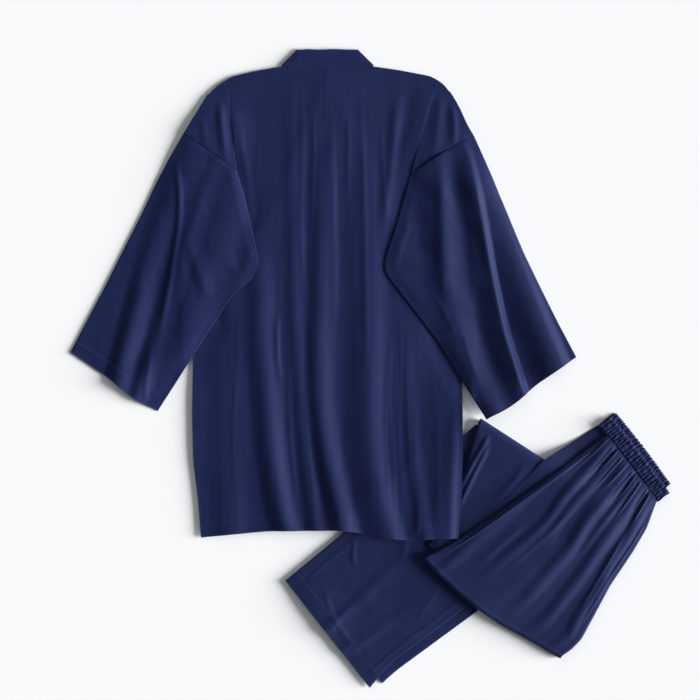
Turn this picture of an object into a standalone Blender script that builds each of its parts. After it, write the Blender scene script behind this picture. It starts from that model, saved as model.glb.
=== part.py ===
"""Kimono pyjama set laid flat: a wrap top lying on its front, and folded trousers."""

import math

import bmesh
import bpy
import numpy as np

# Driving sizes, in millimetres.
CLOTH = 1.2
LAYER_GAP = 0.45
SEAM_GAP = 0.4
TUBE_LIFT = 1.7
SPREAD = 60.0
TOP_SPREAD = 90.0
COLLAR_THICKNESS = 1.8
WRAP_REACH = 125.0
BAND_LENGTH = 139.0
BAND_PUCKERS = 27
TOP_ORIGIN = np.array([-66.3, 465.0])
TROUSERS_ORIGIN = np.array([398.95, -154.45])
TROUSERS_AXIS = np.array([-0.793, -0.609])
TROUSERS_ACROSS = np.array([0.609, -0.793])
MM = 0.001

# Outlines of the top from the middle of the back neck: x to the right, y towards the neck.
BACK_LEFT_EDGE = [(-181, -38), (-190, -52), (-197, -84), (-201, -120), (-206, -200), (-209, -300),
                  (-208.5, -450), (-210, -530), (-208.5, -608), (-200.7, -670), (-196.2, -728.5)]
BACK_RIGHT_EDGE = [(183, -30), (193, -42), (199, -58), (200, -84), (201, -120), (206, -200), (208, -300),
                   (208, -450), (209, -530), (209, -608), (207, -670), (202, -729)]
BACK_TOP_EDGE = [(-181, -38), (-170, -31), (-157, -24), (-148, -15.5), (-110, -5), (-71, 1.6), (0, 1.6),
                 (71, 1.6), (110, -5), (156, -13.5), (168, -20), (176, -25), (183, -30)]
BACK_HEM = [(-196.2, -728), (-92, -718), (25.6, -717), (101.5, -729.9), (122, -732), (202, -729)]
FRONT_SIDE_EDGE = [(-176, -38), (-186, -54), (-195, -84), (-199, -120), (-204, -200), (-207, -300),
                   (-206.5, -450), (-207.5, -530), (-206, -608), (-198.5, -670), (-194, -716)]
FRONT_DIAGONAL = [(-66.9, 1.5), (94.4, -389.8)]
FRONT_WRAP_EDGE = [(WRAP_REACH, -390.6), (WRAP_REACH, -712)]
COLLAR_NECK_POINT = (-66.4, 2.2)
COLLAR_NECK_TOP = (-43.6, 27.2)
COLLAR_END = (95.0, -389.0)
COLLAR_END_TOP = (125.4, -376.0)
COLLAR_FOLD_OUT = (-0.733, 0.681)
COLLAR_BACK_HEIGHT = 4.1

# The armhole and sleeve on each side: (outer edge, inner edge) of each row, shoulder to cuff.
LEFT_FLAP_ROWS = [((-181, -49), (-154, -33)), ((-192, -56), (-152, -50)), ((-203, -69), (-149.6, -72)),
                  ((-212, -83), (-146, -105)), ((-218.5, -94.5), (-143.5, -135)), ((-223.8, -102.6), (-140.6, -161.6))]
RIGHT_FLAP_ROWS = [((187, -44), (163, -26)), ((199, -52), (158, -45)), ((207, -66), (153, -74)),
                   ((213.5, -81), (149, -102)), ((219, -93), (147.5, -130)), ((225.5, -103), (146.8, -154))]
LEFT_SLEEVE_ROWS = [((-224, -103), (-140.3, -162)), ((-247, -143), (-129.4, -193)), ((-264, -175), (-116.5, -250)),
                    ((-275, -198), (-107.5, -294)), ((-281, -211), (-104.6, -311)), ((-288, -226), (-112, -323)),
                    ((-316, -281), (-151, -360)), ((-344, -337), (-182, -407)), ((-372, -390), (-221, -468)),
                    ((-399, -441), (-263, -533))]
RIGHT_SLEEVE_ROWS = [((226, -103.4), (146.6, -154.4)), ((244, -143), (127.9, -190)), ((258, -175), (106, -247)),
                     ((267, -198), (88.5, -297)), ((272, -209), (86.8, -314)), ((279, -226), (93.5, -325)),
                     ((304, -286), (130, -372)), ((330, -340), (171, -426)), ((358, -396), (205, -482)),
                     ((386, -448.7), (245.5, -546))]

# Raised folds: (height at the start, height at the end, width before, width after, track).
# The track of a fold in the back runs (y, x); in a sleeve or the trousers it runs (along, across).
BACK_FOLDS = [
    (0.0, 3.0, 34, 34, [(-430, -158), (-520, -160), (-610, -158), (-731, -150)]),
    (0.0, 5.5, 22, 26, [(-335, -82), (-438, -90), (-555, -81), (-670, -69), (-731, -50)]),
    (0.5, 2.6, 18, 20, [(-60, -56), (-200, -54), (-400, -50), (-590, -36), (-731, -12)]),
    (0.0, 5.5, 24, 28, [(-120, -4), (-360, -5), (-515, -5), (-593, 10), (-670, 22), (-731, 30)]),
    (0.0, 5.0, 26, 28, [(-200, 58), (-360, 69), (-515, 69), (-593, 67), (-670, 77), (-731, 94)]),
    (0.0, 3.2, 22, 24, [(-405, 119), (-438, 122), (-515, 126), (-610, 134), (-731, 150)]),
]
LEFT_SLEEVE_FOLDS = [
    (0.5, 5.0, 22, 30, [(60, 18), (150, 32), (200, 41), (250, 54), (300, 65), (395, 86)]),
    (2.0, 2.2, 46, 40, [(-40, 112), (60, 122), (200, 136), (300, 150), (395, 112)]),
    (0.5, 2.2, 16, 22, [(-40, 60), (60, 70), (200, 92), (300, 108), (395, 124)]),
]
RIGHT_SLEEVE_FOLDS = [
    (0.5, 4.6, 12, 50, [(90, 14), (150, 18), (300, 19), (395, 19)]),
    (0.4, 5.0, 13, 40, [(40, 22), (100, 34), (150, 50), (200, 65), (250, 76), (300, 89), (395, 102)]),
    (2.0, 4.2, 36, 44, [(-20, 60), (50, 92), (100, 98), (150, 116), (200, 138), (250, 150), (300, 160), (395, 150)]),
]
HIP_FOLDS = [
    (2.6, 0.8, 9, 13, [(0, -46), (25, -40), (50, -34), (80, -30), (110, -24), (150, -9), (190, -6), (235, -5)]),
    (2.8, 1.0, 10, 13, [(0, 4), (25, 9), (50, 15), (80, 21), (110, 29), (150, 48), (190, 55), (250, 66)]),
    (2.8, 1.0, 10, 13, [(0, 38), (25, 45), (50, 57), (80, 63), (110, 72), (150, 86), (190, 97), (240, 110)]),
    (2.6, 1.0, 9, 12, [(0, 60), (25, 68), (50, 81), (80, 93), (110, 100), (150, 123), (190, 132), (230, 150)]),
    (2.2, 0.8, 9, 14, [(0, -24), (60, -13), (120, -6), (165, 12)]),
    (2.2, 0.4, 8, 10, [(0, -10), (40, -2), (85, 6)]),
    (2.4, 0.4, 8, 9, [(0, 22), (40, 34), (80, 43), (130, 58)]),
    (1.8, 1.4, 14, 16, [(20, -66), (100, -68), (200, -60), (300, -52)]),
]
HEM_FOLDS = [
    (0.6, 2.0, 14, 18, [(352, -104), (390, -98), (440, -92), (525, -86)]),
    (0.4, 1.6, 16, 16, [(372, -30), (430, -34), (525, -44)]),
]

# Outlines of the trousers from the middle of the waist seam: along the legs, across to the crotch side.
HIP_OUTER_EDGE = [(-3.6, -60), (40, -60), (122, -63), (200, -67), (266, -71), (332, -80)]
HIP_CROTCH_EDGE = [(-3.6, 69), (5, 74), (34, 92.5), (75, 109), (133, 128), (182, 150), (220, 167), (243, 170), (258, 169)]
HIP_FOLD_EDGE = [(332, -80), (329, -50), (322, -10), (312, 32), (299, 72), (285, 103), (258, 169)]
UNDER_OUTER_EDGE = [(-3, -79), (50, -83), (97, -88), (160, -79), (225, -70), (262, -70.5), (329, -78)]
KNEE_OUTER_EDGE = [(318, -92), (262, -121), (206, -148), (140, -197)]
KNEE_OUTLINE = [(133, -200), (98, -91), (64, 33), (150, 92), (225, 142), (250, 140), (300, 40), (332, -76), (206, -150)]
UPPER_LEG_OUTER = [(146, -196), (250, -191), (409, -188), (528, -184)]
UPPER_LEG_INNER = [(88, 22), (326, 20), (470, 17), (496, 21), (525.5, 28)]
LOWER_LEG_OUTER = [(150, -192), (250, -187), (409, -184), (511, -180)]
LOWER_LEG_INNER = [(90, 35), (317, 35.5), (480, 32), (506, 34.5)]


def line_through(points, count, knots=None):
    """Points spaced evenly along a chain of straight lines, or at the given shares of its length."""
    chain = np.array(points, float)
    steps = np.hypot(*np.diff(chain, axis=0).T)
    share = np.concatenate([[0.0], np.cumsum(steps)]) / steps.sum()
    at = np.linspace(0, 1, count) if knots is None else np.asarray(knots)
    return np.stack([np.interp(at, share, chain[:, 0]), np.interp(at, share, chain[:, 1])], axis=-1)


def in_top(points):
    return np.asarray(points, float) + TOP_ORIGIN


def in_trousers(points):
    points = np.asarray(points, float)
    return TROUSERS_ORIGIN + points[..., :1] * TROUSERS_AXIS + points[..., 1:2] * TROUSERS_ACROSS


def inside_distance(points, outline):
    """How far each point lies inside a closed outline, negative outside it."""
    flat = points.reshape(-1, 2)
    starts = np.asarray(outline, float)
    ends = np.roll(starts, -1, axis=0)
    nearest = np.full(len(flat), np.inf)
    inside = np.zeros(len(flat), bool)
    for start, end in zip(starts, ends):
        along = end - start
        share = np.clip((flat - start) @ along / (along @ along), 0, 1)
        nearest = np.minimum(nearest, np.hypot(*(flat - start - share[:, None] * along).T))
        crosses = (start[1] > flat[:, 1]) != (end[1] > flat[:, 1])
        if start[1] != end[1]:
            at = start[0] + (flat[:, 1] - start[1]) * along[0] / along[1]
            inside ^= crosses & (flat[:, 0] < at)
    return np.where(inside, nearest, -nearest).reshape(points.shape[:-1])


def smooth(share):
    share = np.clip(share, 0, 1)
    return share * share * (3 - 2 * share)


class Cover:
    """A layer already laid: its outline, the height of its top, and how far cloth over it spreads."""

    def __init__(self, outline, top, reach=12.0, ramp=34.0, gap=LAYER_GAP):
        self.outline = np.asarray(outline, float)
        self.top = top
        self.gap = gap
        self.reach = reach
        self.ramp = ramp

    def height(self, points):
        share = (inside_distance(points, self.outline) + self.reach + self.ramp) / self.ramp
        return (self.top(points) + self.gap) * smooth(share)


def laid_on(points, covers):
    """The height at which a cloth laid over these layers has its underside."""
    height = np.zeros(points.shape[:-1])
    for cover in covers:
        height = np.maximum(height, cover.height(points))
    return height


def fold_height(along, across, folds, direction=1.0):
    """Sum of raised folds, each a rounded ridge along its track that grows or fades."""
    total = np.zeros(np.shape(along))
    for start, end, before, after, track in folds:
        chain = np.array(track, float)
        run = chain[:, 0] * direction
        crest = np.interp(along * direction, run, chain[:, 1])
        share = (along * direction - run[0]) / (run[-1] - run[0])
        ends = smooth((share + 0.12) / 0.24)
        if direction > 0 and run[-1] < 390:
            ends = ends * smooth((1.25 - share) / 0.3)
        side = across - crest
        width = np.where(side < 0, before, after)
        ridge = 0.5 * (1 + np.cos(np.pi * np.clip(side / width, -1, 1)))
        total = total + (start + (end - start) * np.clip(share, 0, 1)) * ridge * ends
    return total


def with_height(points, height):
    return np.concatenate([points, np.asarray(height)[..., None]], axis=-1)


def wall(middle, thickness, closed=False):
    """Closes a grid of points into a cloth wall of this thickness, open or round as a tube."""
    rows, columns = middle.shape[:2]
    thick = np.broadcast_to(np.asarray(thickness, float).reshape(-1, 1, 1), (rows, 1, 1))
    if closed:
        across = np.roll(middle, -1, axis=1) - np.roll(middle, 1, axis=1)
    else:
        across = np.gradient(middle, axis=1)
    normal = np.cross(np.gradient(middle, axis=0), across)
    normal /= np.maximum(np.linalg.norm(normal, axis=-1, keepdims=True), 1e-9)
    vertices = np.concatenate([(middle + normal * thick / 2).reshape(-1, 3), (middle - normal * thick / 2).reshape(-1, 3)])
    under = rows * columns
    faces = []
    last = columns if closed else columns - 1
    for i in range(rows - 1):
        for j in range(last):
            k = (j + 1) % columns
            a, b, c, d = i * columns + j, (i + 1) * columns + j, (i + 1) * columns + k, i * columns + k
            faces.append((a, b, c, d))
            faces.append((under + d, under + c, under + b, under + a))
    for j in range(last):
        k = (j + 1) % columns
        faces.append((j, k, under + k, under + j))
        a, b = (rows - 1) * columns + j, (rows - 1) * columns + k
        faces.append((b, a, under + a, under + b))
    if not closed:
        for i in range(rows - 1):
            a, b = i * columns, (i + 1) * columns
            faces.append((b, a, under + a, under + b))
            a, b = a + columns - 1, b + columns - 1
            faces.append((a, b, under + b, under + a))
    return vertices, faces


def cloth_material(name, colour, roughness):
    material = bpy.data.materials.new(name)
    material.use_nodes = True
    shader = material.node_tree.nodes["Principled BSDF"]
    shader.inputs["Base Color"].default_value = (*colour, 1.0)
    shader.inputs["Roughness"].default_value = roughness
    return material


def signed_volume(vertices, faces):
    total = 0.0
    for face in faces:
        a = vertices[face[0]]
        for second, third in zip(face[1:-1], face[2:]):
            total += float(np.dot(a, np.cross(vertices[second], vertices[third])))
    return total / 6


def add_part(name, shape, material):
    vertices, faces = shape
    if signed_volume(vertices, faces) < 0:
        faces = [tuple(reversed(face)) for face in faces]
    mesh = bpy.data.meshes.new(name)
    mesh.from_pydata([tuple(float(v) * MM for v in point) for point in vertices], [], faces)
    mesh.validate()
    mesh.materials.append(material)
    mesh.shade_smooth()
    mesh.set_sharp_from_angle(angle=math.radians(50))
    part = bpy.data.objects.new(name, mesh)
    bpy.context.scene.collection.objects.link(part)
    return part


def keep_outer_shell(part):
    """Removes the small shells that a union leaves between faces that nearly meet."""
    shape = bmesh.new()
    shape.from_mesh(part.data)
    left = set(shape.verts)
    shells = []
    while left:
        shell, front = set(), [left.pop()]
        while front:
            vertex = front.pop()
            shell.add(vertex)
            for edge in vertex.link_edges:
                other = edge.other_vert(vertex)
                if other in left:
                    left.discard(other)
                    front.append(other)
        shells.append(shell)
    shells.sort(key=len)
    for shell in shells[:-1]:
        bmesh.ops.delete(shape, geom=list(shell), context="VERTS")
    shape.to_mesh(part.data)
    shape.free()


def join(part, others):
    """Fuses other parts into one by Boolean union and removes them."""
    for other in others:
        union = part.modifiers.new("union", "BOOLEAN")
        union.operation = "UNION"
        union.solver = "MANIFOLD"
        union.object = other
        bpy.context.view_layer.update()
        depsgraph = bpy.context.evaluated_depsgraph_get()
        fused = bpy.data.meshes.new_from_object(part.evaluated_get(depsgraph))
        part.modifiers.clear()
        part.data = fused
        bpy.data.objects.remove(other)
    keep_outer_shell(part)
    return part


def between(first, second, rows, columns):
    """A grid of plan points between two edge lines."""
    share = np.linspace(0, 1, columns)[None, :, None]
    return first[:, None, :] * (1 - share) + second[:, None, :] * share


def patch(first, last, start, end, rows, columns, fade=2.0):
    """Plan points of a panel between its two side edges, with its end edges kept."""
    share = np.linspace(0, 1, columns)
    across = share[None, :, None]
    along = np.linspace(0, 1, rows)[:, None, None]
    grid = first[:, None] * (1 - across) + last[:, None] * across
    start_bend = start - (start[0] * (1 - share[:, None]) + start[-1] * share[:, None])
    end_bend = end - (end[0] * (1 - share[:, None]) + end[-1] * share[:, None])
    return grid + (1 - along) ** fade * start_bend[None] + along ** fade * end_bend[None]


def inset_rows(outer, inner, columns, inset):
    """Plan points across each row, from its outer to its inner edge, kept in by the inset."""
    direction = inner - outer
    width = np.hypot(*direction.T)[:, None]
    unit = direction / width
    # Points lie closer together near the two edges, where the cloth turns over.
    share = 0.5 - 0.5 * np.cos(np.pi * np.linspace(0, 1, columns))
    share = 0.35 * share + 0.65 * np.linspace(0, 1, columns)
    reach = share[None, :] * (width - 2 * inset) + inset
    return outer[:, None] + unit[:, None] * reach[..., None]


def tube(plan, covers, lift=0.0, thickness=CLOTH, gap=TUBE_LIFT, sink=0.0):
    """The middle of a flattened tube whose underside is laid on the covers."""
    rows = plan.shape[0]
    thick, gap, sink = (np.broadcast_to(np.asarray(value, float), (rows,))[:, None] for value in (thickness, gap, sink))
    low = laid_on(plan, covers) + thick / 2 - sink
    high = low + gap + lift
    edges = []
    for side, towards in ((-1, -2), (0, 1)):
        outward = plan[:, side] - plan[:, towards]
        outward /= np.hypot(*outward.T)[:, None]
        radius = (high[:, side] - low[:, side]) / 2
        turned = []
        for angle in (-45, 0, 45):
            turn = math.radians(angle)
            place = plan[:, side] + outward * (radius * math.cos(turn))[:, None]
            turned.append(with_height(place, low[:, side] + radius * (1 + math.sin(turn))))
        edges.append(np.stack(turned, axis=1))
    return np.concatenate([with_height(plan, low), edges[0], with_height(plan, high)[:, ::-1], edges[1][:, ::-1]], axis=1)


def layered_slab(lower, upper, layers):
    """A solid pile between two grids, with its layers showing round the rim."""
    rows, columns = lower.shape[:2]
    rim = [(0, j) for j in range(columns - 1)] + [(i, columns - 1) for i in range(rows - 1)]
    rim += [(rows - 1, j) for j in range(columns - 1, 0, -1)] + [(i, 0) for i in range(rows - 1, 0, -1)]
    low = np.array([lower[i, j] for i, j in rim])
    high = np.array([upper[i, j] for i, j in rim])
    along = (np.roll(low, -1, axis=0) - np.roll(low, 1, axis=0))[:, :2]
    out = np.stack([along[:, 1], -along[:, 0]], axis=-1)
    out /= np.maximum(np.hypot(*out.T)[:, None], 1e-9)
    centre = low[:, :2].mean(axis=0)
    if np.sum(out * (low[:, :2] - centre)) < 0:
        out = -out
    count = rows * columns
    vertices = [upper.reshape(-1, 3), lower.reshape(-1, 3)]
    faces = []
    for i in range(rows - 1):
        for j in range(columns - 1):
            a, b, c, d = i * columns + j, (i + 1) * columns + j, (i + 1) * columns + j + 1, i * columns + j + 1
            faces.append((a, b, c, d))
            faces.append((count + d, count + c, count + b, count + a))
    rings = [[i * columns + j for i, j in rim]]
    base = 2 * count
    for step in range(1, layers * 2):
        share = step / (layers * 2)
        swell = 0.7 if step % 2 else 0.0
        ring = high * (1 - share) + low * share
        ring[:, :2] += out * swell
        vertices.append(ring)
        rings.append([base + k for k in range(len(rim))])
        base += len(rim)
    rings.append([count + i * columns + j for i, j in rim])
    for first, second in zip(rings, rings[1:]):
        for k in range(len(rim)):
            m = (k + 1) % len(rim)
            faces.append((first[k], first[m], second[m], second[k]))
    return np.concatenate(vertices), faces


def turn_under(row, outward, low, angles, tuck):
    """Rows that carry on from the last row of a sheet, round a fold and back beneath it."""
    radius = (row[:, 2] - low) / 2
    rows = []
    for angle in angles:
        turn = math.radians(angle)
        plan = row[:, :2] + outward * (radius * math.cos(turn))[:, None]
        rows.append(with_height(plan, low + radius * (1 + math.sin(turn))))
    for reach in tuck:
        rows.append(with_height(row[:, :2] - outward * reach, low))
    return np.stack(rows)


# Trousers

def lower_leg(name, outer, inner, covers, mouth, material):
    """A lower leg, from near the upper fold to its open hem."""
    rows, columns = 9, 9
    plan = inset_rows(line_through(outer, rows), line_through(inner, rows), columns, (TUBE_LIFT + CLOTH) / 2)
    share = np.linspace(0, 1, columns)[None, :]
    along = plan[..., :1][..., 0]
    open_at = smooth((along - 455) / 65) * np.sin(np.pi * np.clip((share - 0.04) / 0.72, 0, 1)) ** 2
    creases = fold_height(along, plan[..., 1], HEM_FOLDS) * np.sin(np.pi * share) * min(mouth, 1.0)
    middle = tube(in_trousers(plan), covers, mouth * open_at + creases)
    add_part(name, wall(middle, CLOTH, closed=True), material)


def build_legs(material):
    """Both lower legs, the right one underneath, and what they raise."""
    leg_height = TUBE_LIFT + CLOTH
    lower = Cover(in_trousers(LOWER_LEG_OUTER + LOWER_LEG_INNER[::-1]),
                  lambda points: np.full(points.shape[:-1], leg_height), 10, SPREAD)
    lower_leg("right_leg_hem", LOWER_LEG_OUTER, LOWER_LEG_INNER, [], 0.0, material)
    upper = Cover(in_trousers(UPPER_LEG_OUTER + UPPER_LEG_INNER[::-1]),
                  lambda points: laid_on(points, [lower]) + leg_height, 10, SPREAD)
    lower_leg("left_leg_hem", UPPER_LEG_OUTER, UPPER_LEG_INNER, [lower], 3.6, material)
    return [lower, upper]


def knee_plan(rows, columns):
    """Plan points of the middle stretch, from the lower fold to the upper fold."""
    outer = line_through(KNEE_OUTER_EDGE, rows)
    inner = line_through([(300, -34), (82, -34)], rows)
    return between(outer, inner, rows, columns)


def build_trousers(material):
    legs = build_legs(material)
    pile = 3.6

    def knee_top(points):
        return laid_on(points, legs) + pile + LAYER_GAP + CLOTH

    knee = Cover(in_trousers(KNEE_OUTLINE), knee_top, 10, SPREAD, 1.3)

    # The middle stretch: one wall on the pile, turned down round the upper fold.
    plan = in_trousers(knee_plan(10, 8))
    sheet = with_height(plan, laid_on(plan, legs) + pile + LAYER_GAP + CLOTH / 2)
    outward = TROUSERS_AXIS * -0.949 + TROUSERS_ACROSS * -0.316
    low = np.full(sheet.shape[1], CLOTH / 2)
    turned = turn_under(sheet[-1], outward, low, (60, 30, 0, -30, -60, -90), ())
    add_part("right_leg", wall(np.concatenate([sheet, turned]), CLOTH), material)

    # The hip stretch: a pleated wall over the whole pile, turned under at the lower fold.
    rows, columns = 14, 33
    hip = patch(line_through(HIP_OUTER_EDGE, rows), line_through(HIP_CROTCH_EDGE, rows),
                line_through([HIP_OUTER_EDGE[0], HIP_CROTCH_EDGE[0]], columns), line_through(HIP_FOLD_EDGE, columns),
                rows, columns)
    plan = in_trousers(hip)
    ground = laid_on(plan, legs + [knee])
    edge = np.minimum(np.arange(columns), np.arange(columns)[::-1])
    rounded = np.where(edge == 0, 1.9, np.where(edge == 1, 0.3, 0.0))[None, :]
    folds = fold_height(hip[..., 0], hip[..., 1], HIP_FOLDS) * np.where(edge < 2, 0.3, 1.0)[None, :]
    height = ground + pile + LAYER_GAP + CLOTH / 2 + 1.35 + folds
    sheet = with_height(plan, height)
    sheet[:-1, :, 2] -= np.broadcast_to(rounded, height.shape)[:-1]
    outward = TROUSERS_AXIS * 0.956 + TROUSERS_ACROSS * 0.29
    low = laid_on(sheet[-1, :, :2] + outward * 5, legs) + CLOTH / 2
    turned = turn_under(sheet[-1], outward, low, (60, 30, 0, -30, -60, -90), (7.0,))
    add_part("left_leg", wall(np.concatenate([sheet, turned]), CLOTH), material)

    # The hidden layers, one solid: the middle pile, the hip pile, and the cloth that joins them.
    rows, columns = 9, 9
    middle = in_trousers(patch(line_through([(300, -92), (206, -141), (149, -189)], rows), line_through([(243, 136), (150, 84), (80, 24)], rows),
                               line_through([(300, -92), (296, -30), (280, 40), (243, 136)], columns),
                               line_through([(149, -189), (110, -78), (80, 24)], columns), rows, columns))
    low = laid_on(middle, legs)
    inner = add_part("trousers_inner_layers", layered_slab(with_height(middle, low), with_height(middle, low + pile), 2), material)
    rows, columns = 13, 14
    outer = line_through(UNDER_OUTER_EDGE, rows)
    skin_edge = line_through(HIP_OUTER_EDGE, rows)
    crotch = line_through(HIP_CROTCH_EDGE, rows)
    into = (crotch - skin_edge) / np.hypot(*(crotch - skin_edge).T)[:, None]
    full = patch(skin_edge + into * 4.5, crotch - into * 4.0,
                 line_through([(-3.0, -55), (-3.0, 64)], columns - 2), line_through(HIP_FOLD_EDGE, columns - 2), rows, columns - 2)
    full[-1] -= np.array([3.5, 0.8])
    step = skin_edge + into * 1.0
    beyond = np.minimum(outer[:, 1], step[:, 1] - 1.0)
    outer = np.stack([outer[:, 0], beyond], axis=-1)
    hip = np.concatenate([outer[:, None], step[:, None], full], axis=1)
    plan = in_trousers(hip)
    low = laid_on(plan, legs + [knee])
    upper = low + pile + 0.5
    upper[:, :2] = low[:, :2] + 1.5
    sunk = smooth((hip[..., 1] + 24) / 20) * smooth((hip[..., 0] - 92) / 20) * smooth((104 - hip[..., 1]) / 20) * smooth((270 - hip[..., 0]) / 20)
    low = low - 3.4 * sunk
    pile_part = add_part("hip_pile", layered_slab(with_height(plan, low), with_height(plan, upper), 2), material)
    join(inner, [pile_part])

    build_waistband(material)
    return legs + [knee]


def build_waistband(material):
    """The waistband lying flat: two tiers, puckered all along by the elastic."""
    stations = BAND_PUCKERS * 3 + 1
    share = np.linspace(0, 1, stations)
    pucker = np.sin(2 * np.pi * BAND_PUCKERS * share + 0.6 * np.sin(9 * share))
    swell = 0.75 + 0.25 * np.sin(23 * share + 1.0)
    bow = 1.6 * np.sin(np.pi * share)
    upper = -62 + BAND_LENGTH * share * 0.955
    lower = -73 + BAND_LENGTH * share * 0.965
    sections = []
    profile = [(-4.2, 0.0, 0, 0.0, 0.0), (-34.0, 0.0, 1, 0.0, 0.0), (-36.8, 1.8, 1, 0.8, 0.1),
               (-34.6, 4.0, 1, 0.2, 0.7), (-26.2, 4.1, 1, 0.0, 0.7), (-27.0, 6.2, 0, 0.8, 0.3),
               (-24.0, 8.5, 0, 0.3, 1.0), (-14.0, 8.2, 0, 0.0, 0.9), (-4.2, 7.8, 0, 0.0, 0.6)]
    for along, height, tier, push, rise in profile:
        across = lower if tier else upper
        place = np.stack([along - bow - push * pucker * swell, across], axis=-1)
        sections.append(with_height(in_trousers(place), height + rise * pucker * swell))
    rings = np.stack(sections, axis=1)
    count = rings.shape[1]
    faces = []
    for i in range(stations - 1):
        for j in range(count):
            k = (j + 1) % count
            faces.append((i * count + j, (i + 1) * count + j, (i + 1) * count + k, i * count + k))
    faces.append(tuple(range(count)))
    faces.append(tuple((stations - 1) * count + j for j in reversed(range(count))))
    add_part("waistband", (rings.reshape(-1, 3), faces), material)


# Top

def front_plan(columns):
    side = np.array(FRONT_SIDE_EDGE, float)
    upper = line_through([tuple(p) for p in side[:7] if p[1] > -400] + [(-206.8, -385)], 7)
    lower = line_through([(-206.8, -388), (-206.5, -450), (-207.5, -530), (-206, -608), (-198.5, -670), (-194, -716)], 11)
    outer = np.concatenate([upper, lower])
    inner = np.concatenate([line_through(FRONT_DIAGONAL, 7), line_through(FRONT_WRAP_EDGE, 11)])
    return between(outer, inner, len(outer), columns)


def flip(points):
    points = np.array(points, float)
    points[..., 0] *= -1
    return points


def arm_plan(rows):
    sewn = line_through([COLLAR_END, COLLAR_NECK_POINT], rows)
    free = line_through([COLLAR_END_TOP, COLLAR_NECK_TOP], rows)
    return between(sewn, free, rows, 3)


def build_collar(right_covers, left_covers, material):
    """One band: down one front edge, round the back neck and down the other."""
    half = COLLAR_THICKNESS / 2
    left = arm_plan(9)
    right = flip(left)
    rows = [with_height(in_top(left), laid_on(in_top(left), left_covers) + half)]
    top = np.full(3, COLLAR_BACK_HEIGHT)
    fold = with_height(in_top(left[-1]), top)
    low = rows[0][-1][:, 2]
    rows.append(turn_under(fold, np.array(COLLAR_FOLD_OUT), low, (-60, -30, 0, 30, 60), ()))
    neck = line_through([COLLAR_NECK_POINT, (66.4, 2.2)], 9)
    edge = line_through([COLLAR_NECK_TOP, (-30, 28.6), (-12, 27.6), (10, 28.7), (28, 27.8), (43.6, 27.2)], 9)
    rows.append(with_height(in_top(between(neck, edge, 9, 3)), np.full((9, 3), COLLAR_BACK_HEIGHT)))
    across = with_height(in_top(right), laid_on(in_top(right), right_covers) + half)
    out = np.array([-COLLAR_FOLD_OUT[0], COLLAR_FOLD_OUT[1]])
    fold = with_height(in_top(right[-1]), top)
    rows.append(turn_under(fold, out, across[-1][:, 2], (60, 30, 0, -30, -60), ()))
    rows.append(across[::-1])
    add_part("collar", wall(np.concatenate(rows), COLLAR_THICKNESS), material)


def arm_outline(points):
    return in_top(np.concatenate([points[:, 0], points[::-1, -1]]))


def sleeve_axes(outer):
    start, end = outer[0], outer[-1]
    along = (end - start) / np.hypot(*(end - start))
    across = np.array([-along[1], along[0]])
    return start, along, across


def build_sleeve(name, rows_table, folds, covers, material):
    outer_chain = np.array([row[0] for row in rows_table], float)
    inner_chain = np.array([row[1] for row in rows_table], float)
    at = np.array([0, 0.7, 1.4, 2.2, 3, 4, 4.9, 5.6, 6.4, 7.2, 8.1, 9])
    index = np.arange(len(rows_table))
    outer = np.stack([np.interp(at, index, outer_chain[:, 0]), np.interp(at, index, outer_chain[:, 1])], axis=-1)
    inner = np.stack([np.interp(at, index, inner_chain[:, 0]), np.interp(at, index, inner_chain[:, 1])], axis=-1)
    start, along, across = sleeve_axes(outer_chain)
    if (inner_chain[0] - start) @ across < 0:
        across = -across
    plan = inset_rows(outer, inner, 12, (TUBE_LIFT + CLOTH) / 2)
    plan[0] += along * (SEAM_GAP + 0.15)
    share = np.linspace(0, 1, 12)
    plan[-1] += along * (4.5 * np.sin(np.pi * np.clip((share - 0.4) / 0.6, 0, 1)) ** 2)[:, None]
    run, reach = (plan - start) @ along, (plan - start) @ across
    lift = fold_height(run, reach, folds)
    lift = lift * np.sin(np.pi * np.clip(share, 0.02, 0.98))[None, :] ** 0.5
    lift[:, 0] = 0
    lift[:, -1] = 0
    middle = tube(in_top(plan), covers, lift)
    add_part(name, wall(middle, CLOTH, closed=True), material)


def build_flap(rows_table, covers, material):
    outer = np.array([row[0] for row in rows_table], float)
    inner = np.array([row[1] for row in rows_table], float)
    plan = inset_rows(outer, inner, 6, (TUBE_LIFT + CLOTH) / 2)
    thickness = np.array([0.3, 0.8, 1.1, CLOTH, CLOTH, CLOTH])
    gap = np.array([0.35, 0.9, 1.4, TUBE_LIFT, TUBE_LIFT, TUBE_LIFT])
    sink = np.array([1.38, 0.9, 0.3, 0.0, 0.0, 0.0])
    middle = tube(in_top(plan), covers, 0.0, thickness, gap, sink)
    return add_part("flap", wall(middle, thickness, closed=True), material)


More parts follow.
